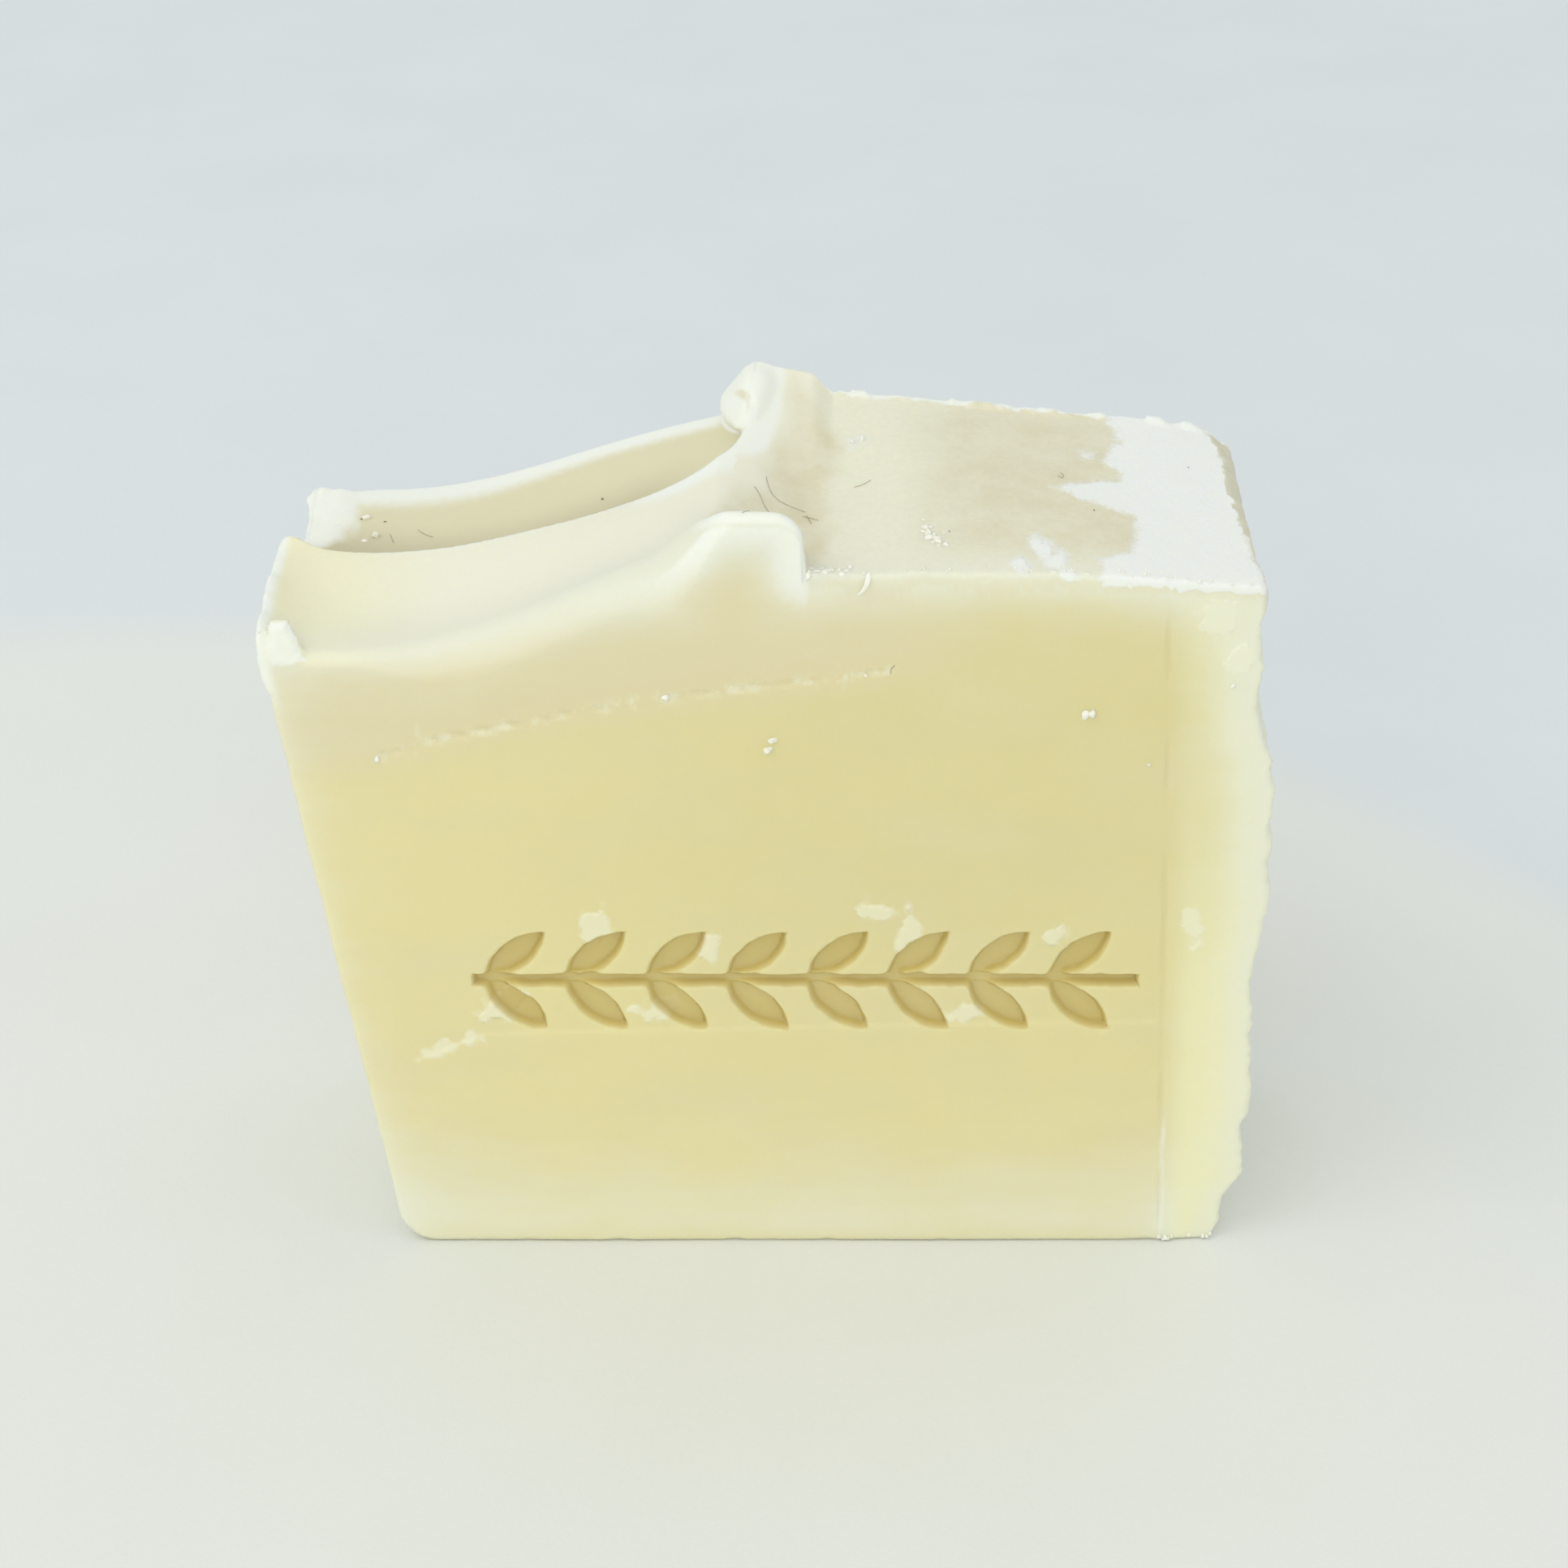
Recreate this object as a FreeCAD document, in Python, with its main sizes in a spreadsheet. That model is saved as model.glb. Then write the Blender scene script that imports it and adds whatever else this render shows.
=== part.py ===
import FreeCAD, Part
import Sketcher
import math
import os

# A slice cut from a moulded loaf of soap, standing on its base.
# X runs along the width, Y from the front cut to the back cut, Z up from the surface it stands on.
# The origin is the middle of the base.

V = FreeCAD.Vector
doc = FreeCAD.newDocument("SoapBar")

# Driving dimensions, in millimetres
DIMENSIONS = [
    ("bar_width", 86.2, "widest, from the left rim to the bulge of the right side"),
    ("bar_depth", 29.3, "from the front cut to the back cut"),
    ("deck_height", 67.7, "front edge of the flat deck above the base"),
    ("foot_inset", 10.0, "how far the left foot stands in from the left rim"),
    ("rim_height", 61.0, "where the leaning left side reaches its full width"),
    ("foot_radius", 3.0, "rounded left foot, from the corner of the mould"),
    ("right_foot_inset", 2.9, "right foot, in from the bulge"),
    ("right_low_inset", 0.8, "right side low down, in from the bulge"),
    ("right_low_height", 8.0, "height of that place"),
    ("bulge_height", 40.0, "height of the right side's bulge"),
    ("neck_inset", 1.9, "right side above the bulge"),
    ("neck_height", 54.0, "height of that place"),
    ("shoulder_inset", 2.6, "right end of the deck, in from the bulge"),
    ("facet_width", 9.6, "strip at the right of the front face that is cut back"),
    ("facet_set_back", 0.8, "how far that strip leans back at its right end"),
    ("ridge_offset", 2.0, "ridge across the top, left of the middle"),
    ("front_drop", 7.7, "front edge at the left, below the deck"),
    ("front_crown", 1.5, "front edge under the nose, above the deck"),
    ("front_run", 27.0, "length of the slope along the front edge"),
    ("front_run_gap", 2.0, "that slope ends this far left of the ridge"),
    ("crown_half", 4.5, "half the width over which the crown falls to the deck"),
    ("rim_drop", 6.1, "crest at the left rim, below the deck"),
    ("saddle_rise", 2.2, "crest at the ridge, above the deck"),
    ("saddle_gap", 2.5, "crest tops out this far left of the ridge"),
    ("saddle_run", 7.5, "fall from there to the hollow right of the ridge"),
    ("swell_run", 10.0, "rise from the hollow to the deck, halfway back"),
    ("trough", 0.9, "hollow between the front edge and the crest"),
    ("peak_rise", 6.0, "ridge at the back cut, above the deck"),
    ("peak_half", 2.0, "flat top of the peak, right of the ridge"),
    ("peak_run", 6.5, "fall from the peak to the deck at the back cut"),
    ("back_rise", 3.3, "deck at the back cut beside the ridge, above its front edge"),
    ("back_fall", 4.4, "fall of the deck to the right along the back cut"),
    ("middle_fall", 3.1, "the same halfway back"),
    ("front_fall", 2.2, "the same along the front cut"),
    ("crest_lead", 1.3, "crest in front of the middle plane"),
    ("crest_hook", 16.5, "how far the crest swings back towards the ridge"),
    ("crest_gap", 1.9, "line right of the ridge that the crest swings round to"),
    ("crest_flare", 4.0, "how far the crest swings back near the left rim"),
    ("crest_flare_run", 18.0, "length of that swing"),
    ("valley_drop", 7.7, "floor of the valley at the left, below the deck"),
    ("valley_climb", 7.4, "climb of the valley's floor towards the ridge"),
    ("valley_run", 31.0, "length of that climb"),
    ("back_ridge_drop", 6.3, "top of the back ridge at the left, below the deck"),
    ("back_ridge_climb", 7.4, "climb of the back ridge towards the peak"),
    ("back_ridge_run", 33.0, "length of that climb"),
    ("nose_rise", 5.3, "flat top of the nose above the deck"),
    ("nose_run", 10.4, "slope that leads up to the nose"),
    ("nose_left", 2.6, "flat top of the nose, left of the ridge"),
    ("nose_right", 2.0, "flat top of the nose, right of the ridge"),
    ("nose_radius", 2.7, "rounded right shoulder of the nose"),
    ("nose_reach", 6.0, "nose, back from the front cut"),
    ("nose_sink", 0.4, "nose's slope starts this far inside the front slope"),
    ("curl_radius", 2.0, "roll beside the peak at the back cut"),
    ("curl_start_radius", 0.9, "the same roll at its front end"),
    ("curl_start", 2.5, "front end of the roll, behind the middle plane"),
    ("notch_width", 2.5, "broken back left corner, along the width"),
    ("notch_depth", 8.6, "broken back left corner, along the depth"),
    ("notch_drop", 10.7, "floor of the broken corner, below the deck"),
    ("stamp_depth", 1.0, "depth of the stamped ornament"),
    ("stamp_height", 28.0, "stem of the ornament above the base"),
    ("stem_length", 58.0, "stem of the ornament"),
    ("stem_width", 1.2, "width of the stem"),
    ("stem_offset", 3.0, "middle of the stem, right of the bar's middle"),
    ("leaf_pairs", 8, "pairs of leaves along the stem"),
    ("leaf_spacing", 7.0, "from one pair to the next"),
    ("leaf_reach", 5.2, "leaf along the stem"),
    ("leaf_rise", 4.6, "leaf away from the stem"),
    ("leaf_bow", 5.0, "radius of a leaf's two edges"),
]

sheet = doc.addObject("Spreadsheet::Sheet", "Dimensions")
for row, (alias, value, meaning) in enumerate(DIMENSIONS, start=1):
    sheet.set(f"A{row}", alias)
    sheet.set(f"B{row}", str(value))
    sheet.setAlias(f"B{row}", alias)
    sheet.set(f"C{row}", meaning)
doc.recompute()


def size(alias):
    """Value of a driving dimension."""
    return float(sheet.get(alias))


# Faces and lines that the slice is drawn from
LEFT = -size("bar_width") / 2
RIGHT = size("bar_width") / 2
FRONT = -size("bar_depth") / 2
BACK = size("bar_depth") / 2
RIDGE = -size("ridge_offset")
DECK = size("deck_height")
# How far a cutter reaches past the solid that it cuts
BEYOND = 2.0
BLOCK_TOP = DECK + size("peak_rise") + 4 * BEYOND


def origin_plane(body, role):
    """Plane of the body's own origin, such as XZ_Plane."""
    for feature in body.Origin.OriginFeatures:
        if feature.Role == role:
            return feature
    raise ValueError(role)


def new_sketch(body, name, role):
    """Empty sketch on one of the body's origin planes."""
    sketch = body.newObject("Sketcher::SketchObject", name)
    sketch.AttachmentSupport = [(origin_plane(body, role), "")]
    sketch.MapMode = "FlatFace"
    return sketch


def bind_point(sketch, name, line, end, x_formula, z_formula):
    """Hold one end of a line at a place worked out from the driving dimensions."""
    point = sketch.getPoint(line, end)
    for kind, suffix, value, formula in (("DistanceX", "x", point.x, x_formula),
                                         ("DistanceY", "y", point.y, z_formula)):
        index = sketch.addConstraint(Sketcher.Constraint(kind, -1, 1, line, end, value))
        sketch.renameConstraint(index, f"{name}_{suffix}")
        sketch.setExpression(f"Constraints.{name}_{suffix}", formula)


def add_outline(sketch, corners):
    """Closed outline of straight runs. Each corner: name, start guess, x formula, y formula."""
    count = len(corners)
    for index, corner in enumerate(corners):
        after = corners[(index + 1) % count]
        sketch.addGeometry(Part.LineSegment(V(*corner[1], 0), V(*after[1], 0)), False)
    for index in range(count):
        sketch.addConstraint(Sketcher.Constraint("Coincident", index, 2, (index + 1) % count, 1))
    for index, (name, _, x_formula, y_formula) in enumerate(corners):
        bind_point(sketch, name, index, 1, x_formula, y_formula)


def make_slice():
    """Plain slice of the loaf, higher than the sculpted top, with its front face finished."""
    body = doc.addObject("PartDesign::Body", "Slice")

    # Front outline: leaning moulded side on the left, rough uneven side on the right
    outline = new_sketch(body, "FrontOutline", "XZ_Plane")
    right = "Dimensions.bar_width / 2"
    block_top = f"Dimensions.deck_height + Dimensions.peak_rise + 3 * {BEYOND}"
    add_outline(outline, [
        ("left_foot", (-33, 0), f"-{right} + Dimensions.foot_inset", "0"),
        ("left_rim", (-43, 64), f"-{right}", "Dimensions.rim_height"),
        ("left_top", (-43, 80), f"-{right}", block_top),
        ("right_top", (40, 80), f"{right} - Dimensions.shoulder_inset", block_top),
        ("shoulder", (40, 67), f"{right} - Dimensions.shoulder_inset", "Dimensions.deck_height"),
        ("neck", (41, 54), f"{right} - Dimensions.neck_inset", "Dimensions.neck_height"),
        ("bulge", (43, 40), right, "Dimensions.bulge_height"),
        ("right_low", (42, 8), f"{right} - Dimensions.right_low_inset", "Dimensions.right_low_height"),
        ("right_foot", (40, 0), f"{right} - Dimensions.right_foot_inset", "0"),
    ])
    pad = body.newObject("PartDesign::Pad", "Thickness")
    pad.Profile = outline
    pad.SideType = "Symmetric"
    pad.setExpression("Length", "Dimensions.bar_depth")
    doc.recompute()

    # Rounded left foot
    fillet = body.newObject("PartDesign::Fillet", "LeftFoot")
    fillet.Base = (pad, [foot_edge(pad.Shape)])
    fillet.setExpression("Radius", "Dimensions.foot_radius")

    # Strip at the right end of the front face, leaning back from the cut
    facet = new_sketch(body, "FacetOutline", "XY_Plane")
    front = "Dimensions.bar_depth / 2"
    add_outline(facet, [
        ("start", (33, -14), f"{right} - Dimensions.facet_width", f"-{front}"),
        ("end", (43, -13), right, f"-{front} + Dimensions.facet_set_back"),
        ("end_outside", (43, -20), right, f"-{front} - Dimensions.facet_set_back"),
        ("start_outside", (33, -20), f"{right} - Dimensions.facet_width",
         f"-{front} - Dimensions.facet_set_back"),
    ])
    facet_cut = body.newObject("PartDesign::Pocket", "Facet")
    facet_cut.Profile = facet
    facet_cut.Type = "ThroughAll"
    facet_cut.Reversed = True

    # Stamped ornament: a straight stem with pairs of leaves
    leaves = front_sketch(body, "LeafPair")
    first_leaf = "Dimensions.stem_offset - Dimensions.stem_length / 2 + Dimensions.stem_width"
    add_leaf(leaves, "upper", 1, first_leaf)
    add_leaf(leaves, "lower", -1, first_leaf)
    leaf_cut = body.newObject("PartDesign::Pocket", "Leaves")
    leaf_cut.Profile = leaves
    leaf_cut.setExpression("Length", "Dimensions.stamp_depth")
    row = body.newObject("PartDesign::LinearPattern", "LeafRow")
    row.Originals = [leaf_cut]
    row.Direction = (leaves, ["H_Axis"])
    row.Mode = "Spacing"
    row.setExpression("Offset", "Dimensions.leaf_spacing")
    row.setExpression("Occurrences", "Dimensions.leaf_pairs")
    body.Tip = row

    stem = front_sketch(body, "StemOutline")
    add_stem(stem)
    stem_cut = body.newObject("PartDesign::Pocket", "Stem")
    stem_cut.Profile = stem
    stem_cut.setExpression("Length", "Dimensions.stamp_depth")
    body.Tip = stem_cut
    doc.recompute()
    return body


def foot_edge(shape):
    """Name of the long bottom edge at the left foot."""
    left_foot = -size("bar_width") / 2 + size("foot_inset")
    for index, edge in enumerate(shape.Edges, start=1):
        middle = edge.BoundBox.Center
        if abs(middle.x - left_foot) < 0.01 and abs(middle.z) < 0.01 and edge.BoundBox.YLength > 1:
            return f"Edge{index}"
    raise ValueError("left foot edge")


def front_sketch(body, name):
    """Sketch on the front cut, facing the viewer."""
    sketch = new_sketch(body, name, "XZ_Plane")
    sketch.setExpression("AttachmentOffset.Base.z", "Dimensions.bar_depth / 2")
    return sketch


def leaf_edge(start, end, radius):
    """Arc from start to end, turning to the left."""
    chord = end - start
    half = chord.Length / 2
    left = V(-chord.y, chord.x, 0).normalize()
    centre = (start + end) / 2 + left * math.sqrt(radius * radius - half * half)
    first = math.atan2(start.y - centre.y, start.x - centre.x)
    last = math.atan2(end.y - centre.y, end.x - centre.x)
    return Part.ArcOfCircle(Part.Circle(centre, V(0, 0, 1), radius), first, last)


def add_leaf(sketch, name, side, root_x):
    """Leaf with two bowed edges, from its root on the stem to its tip, above (1) or below (-1)."""
    # The root lies inside the stem's width, so that the leaf opens into it
    root = V(size("stem_offset") - size("stem_length") / 2 + size("stem_width"),
             size("stamp_height") + side * size("stem_width") / 4, 0)
    tip = root + V(size("leaf_reach"), side * size("leaf_rise"), 0)
    out = sketch.addGeometry(leaf_edge(root, tip, size("leaf_bow")), False)
    home = sketch.addGeometry(leaf_edge(tip, root, size("leaf_bow")), False)
    sketch.addConstraint(Sketcher.Constraint("Coincident", out, 2, home, 1))
    sketch.addConstraint(Sketcher.Constraint("Coincident", home, 2, out, 1))
    root_z = f"Dimensions.stamp_height + {side} * Dimensions.stem_width / 4"
    bind_point(sketch, f"{name}_root", out, 1, root_x, root_z)
    bind_point(sketch, f"{name}_tip", out, 2, f"{root_x} + Dimensions.leaf_reach",
               f"{root_z} + {side} * Dimensions.leaf_rise")
    for arc, edge in ((out, "out"), (home, "home")):
        index = sketch.addConstraint(Sketcher.Constraint("Radius", arc, size("leaf_bow")))
        sketch.renameConstraint(index, f"{name}_{edge}_bow")
        sketch.setExpression(f"Constraints.{name}_{edge}_bow", "Dimensions.leaf_bow")


def add_stem(sketch):
    """Long thin stem, square at its ends."""
    left = "Dimensions.stem_offset - Dimensions.stem_length / 2"
    right = "Dimensions.stem_offset + Dimensions.stem_length / 2"
    low = "Dimensions.stamp_height - Dimensions.stem_width / 2"
    high = "Dimensions.stamp_height + Dimensions.stem_width / 2"
    add_outline(sketch, [
        ("low_left", (-26, 27), left, low),
        ("low_right", (32, 27), right, low),
        ("high_right", (32, 29), right, high),
        ("high_left", (-26, 29), left, high),
    ])


def step(value, start, end):
    """Smooth step from 0 at start to 1 at end."""
    share = min(max((value - start) / (end - start), 0.0), 1.0)
    return share * share * (3 - 2 * share)


def front_section(x):
    """Height of the top along the front cut: low on the left, rising to the crown, then the deck."""
    slope_end = RIDGE - size("front_run_gap")
    climb = (size("front_drop") + size("front_crown")) * step(x, slope_end - size("front_run"), slope_end)
    fall = size("front_crown") * step(x, RIDGE - size("crown_half"), RIDGE + size("crown_half"))
    right_fall = size("front_fall") * step(x, RIGHT / 2, RIGHT)
    return DECK - size("front_drop") + climb - fall - right_fall


def middle_section(x):
    """Height of the top halfway back: along the crest, over the saddle and along the deck."""
    saddle_x = RIDGE - size("saddle_gap")
    hollow_x = saddle_x + size("saddle_run")
    swell_x = hollow_x + size("swell_run")
    share = min(max((x - LEFT) / (saddle_x - LEFT), 0.0), 1.0)
    climb = (size("rim_drop") + size("saddle_rise")) * share * share
    fall = size("saddle_rise") * step(x, saddle_x, hollow_x)
    swell = size("back_rise") / 3 * step(x, hollow_x, swell_x)
    right_fall = size("middle_fall") * step(x, swell_x, RIGHT + size("swell_run"))
    return DECK - size("rim_drop") + climb - fall + swell - right_fall


def back_section(x):
    """Height of the top along the back cut: the peak, and the deck beside it."""
    peak_end = RIDGE + size("peak_half")
    deck_start = peak_end + size("peak_run")
    peak_fall = (size("peak_rise") - size("back_rise")) * step(x, peak_end, deck_start)
    right_fall = size("back_fall") * max((x - deck_start) / (RIGHT - deck_start), 0.0)
    peak = DECK + size("peak_rise") - peak_fall - right_fall
    # Left of the peak the valley cuts this end away, so it only shapes the trough in front
    trough = 2 * middle_section(x) - front_section(x) + 8 * size("trough")
    share = step(x, RIDGE - 4 * size("peak_half"), RIDGE)
    return trough + (peak - trough) * share


def top_height(x, y):
    """Height of the front slope, the ridge and the deck: a parabola through the three sections."""
    share = (y - FRONT) / (BACK - FRONT)
    near = (1 - share) * (1 - 2 * share)
    middle = 4 * share * (1 - share)
    far = share * (2 * share - 1)
    return front_section(x) * near + middle_section(x) * middle + back_section(x) * far


def crest_y(x):
    """Plan line of the crest: near the middle plane, and swung back at both ends."""
    run = size("crest_flare_run")
    flare = size("crest_flare") * (max(LEFT + run - x, 0.0) / run) ** 2
    return flare - size("crest_lead") + size("crest_hook") / (RIDGE + size("crest_gap") - x)


def crest_x(y):
    """Where the crest crosses a given depth on its way back to the peak."""
    return RIDGE + size("crest_gap") - size("crest_hook") / (y + size("crest_lead"))


def valley_height(x, y):
    """Height behind the crest: the valley's floor rising to the back ridge."""
    floor_end = RIDGE + 5
    floor_climb = size("valley_climb") * step(x, floor_end - size("valley_run"), floor_end)
    floor = DECK - size("valley_drop") + floor_climb
    ridge_end = RIDGE + 1
    ridge_climb = size("back_ridge_climb") * step(x, ridge_end - size("back_ridge_run"), ridge_end)
    back_ridge = DECK - size("back_ridge_drop") + ridge_climb
    foot = min(crest_y(min(x, RIDGE - 1)), BACK - BEYOND)
    return floor + (back_ridge - floor) * step(y, foot, BACK)


def surface_through(height, x_range, y_range, x_count, y_count):
    """Smooth face through the heights on an even grid."""
    rows = []
    for i in range(x_count + 1):
        x = x_range[0] + (x_range[1] - x_range[0]) * i / x_count
        row = []
        for j in range(y_count + 1):
            y = y_range[0] + (y_range[1] - y_range[0]) * j / y_count
            row.append(V(x, y, height(x, y)))
        rows.append(row)
    surface = Part.BSplineSurface()
    surface.interpolate(rows)
    return surface.toShape()


def make_above_top():
    """Everything above the sculpted top, to be cut away."""
    x_range = (LEFT - BEYOND, RIGHT + BEYOND)
    y_range = (FRONT - BEYOND, BACK + BEYOND)
    face = surface_through(top_height, x_range, y_range, 30, 8)
    feature = doc.addObject("Part::Feature", "AboveTop")
    feature.Shape = face.extrude(V(0, 0, BLOCK_TOP))
    return feature


def make_valley():
    """Space behind the crest, above the valley and the back ridge, to be cut away."""
    end_x = crest_x(BACK + BEYOND)
    count = 14
    points = []
    for i in range(count + 1):
        # Steps that shorten towards the ridge, where the crest turns
        x = end_x - (end_x - LEFT + BEYOND) * (i / count) ** 2
        points.append(V(x, crest_y(x), 0))
    crest = Part.BSplineCurve()
    crest.interpolate(points)
    left_back = V(LEFT - BEYOND, BACK + BEYOND, 0)
    edges = [
        crest.toShape(),
        Part.makeLine(points[-1], left_back),
        Part.makeLine(left_back, points[0]),
    ]
    plan = Part.Face(Part.Wire(edges)).extrude(V(0, 0, BLOCK_TOP))
    x_range = (LEFT - 2 * BEYOND, end_x + 2 * BEYOND)
    y_range = (-size("crest_lead") - BEYOND, BACK + 2 * BEYOND)
    floor = surface_through(valley_height, x_range, y_range, 16, 8)
    feature = doc.addObject("Part::Feature", "Valley")
    feature.Shape = plan.common(floor.extrude(V(0, 0, BLOCK_TOP)))
    return feature


def nose_outline(y, top, sink):
    """Upright outline of the nose at one depth: slope, flat top, rounded shoulder and right side."""
    flat_x = RIDGE - size("nose_left")
    start_x = flat_x - size("nose_run")
    shoulder_x = RIDGE + size("nose_right")
    radius = min(size("nose_radius"), top - DECK + sink)
    base = DECK - size("front_drop")
    start_z = top_height(start_x, y) - sink
    slope = Part.BSplineCurve()
    middle = V((start_x + flat_x) / 2, y, (start_z + top) / 2)
    slope.interpolate([V(start_x, y, start_z), middle, V(flat_x, y, top)],
                      InitialTangent=V(1, 0, 0.25), FinalTangent=V(1, 0, 0))
    turn = radius * math.sqrt(0.5)
    shoulder = Part.Arc(V(shoulder_x, y, top),
                        V(shoulder_x + turn, y, top - radius + turn),
                        V(shoulder_x + radius, y, top - radius))
    low_right = V(shoulder_x + radius, y, base)
    low_left = V(start_x, y, base)
    return Part.Wire([
        slope.toShape(),
        Part.makeLine(V(flat_x, y, top), V(shoulder_x, y, top)),
        shoulder.toShape(),
        Part.makeLine(V(shoulder_x + radius, y, top - radius), low_right),
        Part.makeLine(low_right, low_left),
        Part.makeLine(low_left, V(start_x, y, start_z)),
    ])


def make_nose():
    """Front end of the ridge: a thin blunt nose, flush with the front cut and falling off behind."""
    y_rear = FRONT + size("nose_reach")
    sink = size("nose_sink")
    near = nose_outline(FRONT, DECK + size("nose_rise"), sink)
    rear_top = top_height(RIDGE - size("nose_left"), y_rear) - sink
    far = nose_outline(y_rear, rear_top, 4 * sink)
    feature = doc.addObject("Part::Feature", "Nose")
    feature.Shape = Part.makeLoft([near, far], True)
    return feature


def make_curl():
    """Roll of soap beside the ridge, thickening towards the back cut, where it leans over the valley."""
    last = 5
    sections = []
    for i in range(last + 1):
        share = i / last
        radius = size("curl_start_radius") + (size("curl_radius") - size("curl_start_radius")) * share
        y = size("curl_start") + (BACK - size("curl_start")) * share
        x = crest_x(y)
        centre = V(x - 0.55 * radius, y, top_height(x, y) - 1.1 * radius)
        sections.append(Part.Wire(Part.makeCircle(radius, centre, V(0, 1, 0))))
    feature = doc.addObject("Part::Feature", "Curl")
    feature.Shape = Part.makeLoft(sections, True)
    return feature


def make_notch():
    """Box that cuts the broken back left corner."""
    notch = doc.addObject("Part::Box", "Notch")
    notch.setExpression("Length", f"Dimensions.notch_width + {BEYOND}")
    notch.setExpression("Width", f"Dimensions.notch_depth + {BEYOND}")
    notch.setExpression("Height", "Dimensions.notch_drop + Dimensions.peak_rise")
    notch.setExpression("Placement.Base.x", f"-Dimensions.bar_width / 2 - {BEYOND}")
    notch.setExpression("Placement.Base.y", "Dimensions.bar_depth / 2 - Dimensions.notch_depth")
    notch.setExpression("Placement.Base.z", "Dimensions.deck_height - Dimensions.notch_drop")
    return notch


def cut_away(name, base, tool):
    """Base with the tool's space taken out."""
    cut = doc.addObject("Part::Cut", name)
    cut.Base = base
    cut.Tool = tool
    return cut


def make_soap_bar():
    """The whole slice."""
    topped = cut_away("Topped", make_slice(), make_above_top())
    hollowed = cut_away("Hollowed", topped, make_valley())
    notched = cut_away("Notched", hollowed, make_notch())
    bar = doc.addObject("Part::MultiFuse", "SoapBar")
    bar.Shapes = [notched, make_nose(), make_curl()]
    bar.Refine = True
    bar.Label = "soap_bar"
    return bar


bar = make_soap_bar()
doc.recompute()

for item in doc.Objects:
    if "Invalid" in item.State or "Error" in item.State:
        raise RuntimeError(f"{item.Name} failed: {item.State}")
if bar.Shape.isNull() or not bar.Shape.isValid() or len(bar.Shape.Solids) != 1:
    raise RuntimeError("soap_bar is not one valid solid")

os.makedirs("parts", exist_ok=True)
bar.Shape.exportStep(f"parts/{bar.Label}.step")
box = bar.Shape.optimalBoundingBox(False)
print(f"{bar.Label}: x {box.XMin:.2f} {box.XMax:.2f}, y {box.YMin:.2f} {box.YMax:.2f},"
      f" z {box.ZMin:.2f} {box.ZMax:.2f}, volume {bar.Shape.Volume:.0f}")
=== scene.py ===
import itertools
import math

import bmesh
import bpy
import numpy as np
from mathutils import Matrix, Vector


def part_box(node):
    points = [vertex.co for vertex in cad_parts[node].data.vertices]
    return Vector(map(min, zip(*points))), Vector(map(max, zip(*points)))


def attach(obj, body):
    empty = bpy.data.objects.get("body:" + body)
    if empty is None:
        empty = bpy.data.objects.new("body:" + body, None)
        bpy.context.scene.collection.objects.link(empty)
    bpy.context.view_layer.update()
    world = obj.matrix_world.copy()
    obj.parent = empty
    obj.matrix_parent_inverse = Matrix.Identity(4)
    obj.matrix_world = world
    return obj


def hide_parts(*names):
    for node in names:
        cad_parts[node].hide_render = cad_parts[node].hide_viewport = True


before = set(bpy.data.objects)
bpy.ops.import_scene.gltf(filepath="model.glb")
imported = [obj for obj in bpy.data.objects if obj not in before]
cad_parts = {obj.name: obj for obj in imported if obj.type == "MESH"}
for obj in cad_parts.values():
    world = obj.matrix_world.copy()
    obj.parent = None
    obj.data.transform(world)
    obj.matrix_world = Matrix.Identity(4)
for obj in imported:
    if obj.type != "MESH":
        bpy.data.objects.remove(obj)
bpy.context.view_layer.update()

# A slice of handmade soap. Shapes are worked out in millimetres, in the frame of the CAD part:
# X along the width, Y from the front cut to the back cut, Z up from the floor.
MM = 0.001
LOW, HIGH = (np.array(corner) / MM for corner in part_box("soap_bar"))
LEFT, FRONT, _ = LOW
RIGHT, BACK, PEAK = HIGH
DEPTH = BACK - FRONT

# Height of the deck beside the ridge, and the ridge's place along the width
DECK = 67.7
RIDGE = -2.0

# How far the left end of the front slope lies below the deck
SLOPE_DROP = 7.7

# Nose at the front end of the ridge: its top, and the radius of its right shoulder
NOSE_TOP = DECK + 5.3
NOSE_RADIUS = 2.7

# Plan line of the crest: y = CREST_Y + CREST_BEND / (CREST_X - x), back to the peak at CREST_END
CREST_X = -0.1
CREST_Y = -1.3
CREST_BEND = 16.5
CREST_END = -1.1

# Left side, as the mould leans it, and the rounded foot at its bottom
FOOT_X = -33.1
LEAN = 0.156
FOOT_RADIUS = 3.0

# Rough right side: x at each height
RIGHT_EDGE_Z = [0, 1.6, 3.6, 7.1, 12.4, 15.3, 18.2, 20.1, 21.9, 24.7, 26.5, 30.2, 32.5, 34.4,
                38.4, 42.8, 45.9, 49.4, 51.6, 54.9, 57.5, 60.0, 63.8, 66.7, 75.0]
RIGHT_EDGE_X = [40.2, 40.4, 40.6, 42.4, 42.1, 42.7, 42.3, 42.7, 42.4, 42.4, 42.1, 42.4, 42.8, 43.0,
                43.0, 42.9, 42.9, 42.5, 41.7, 41.2, 41.4, 41.0, 41.1, 40.5, 40.4]

# Strip at the right of the front face that leans back: x of its line at the foot, the line's lean,
# how far it is set back, and over which width
STRIP_X = 35.1
STRIP_LEAN = 0.033
STRIP_SET_BACK = 0.8
STRIP_WIDTH = 8.5

# Stamped ornament: a straight stem with pairs of leaves
STEM_Z = 28.0
STEM_LEFT, STEM_RIGHT = -26.0, 32.0
STEM_WIDTH = 1.2
LEAF_PAIRS = 8
LEAF_SPACING = 7.0
LEAF_REACH = 5.2
LEAF_RISE = 4.6
LEAF_BOW = 5.0
STAMP_DEPTH = 1.0

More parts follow.
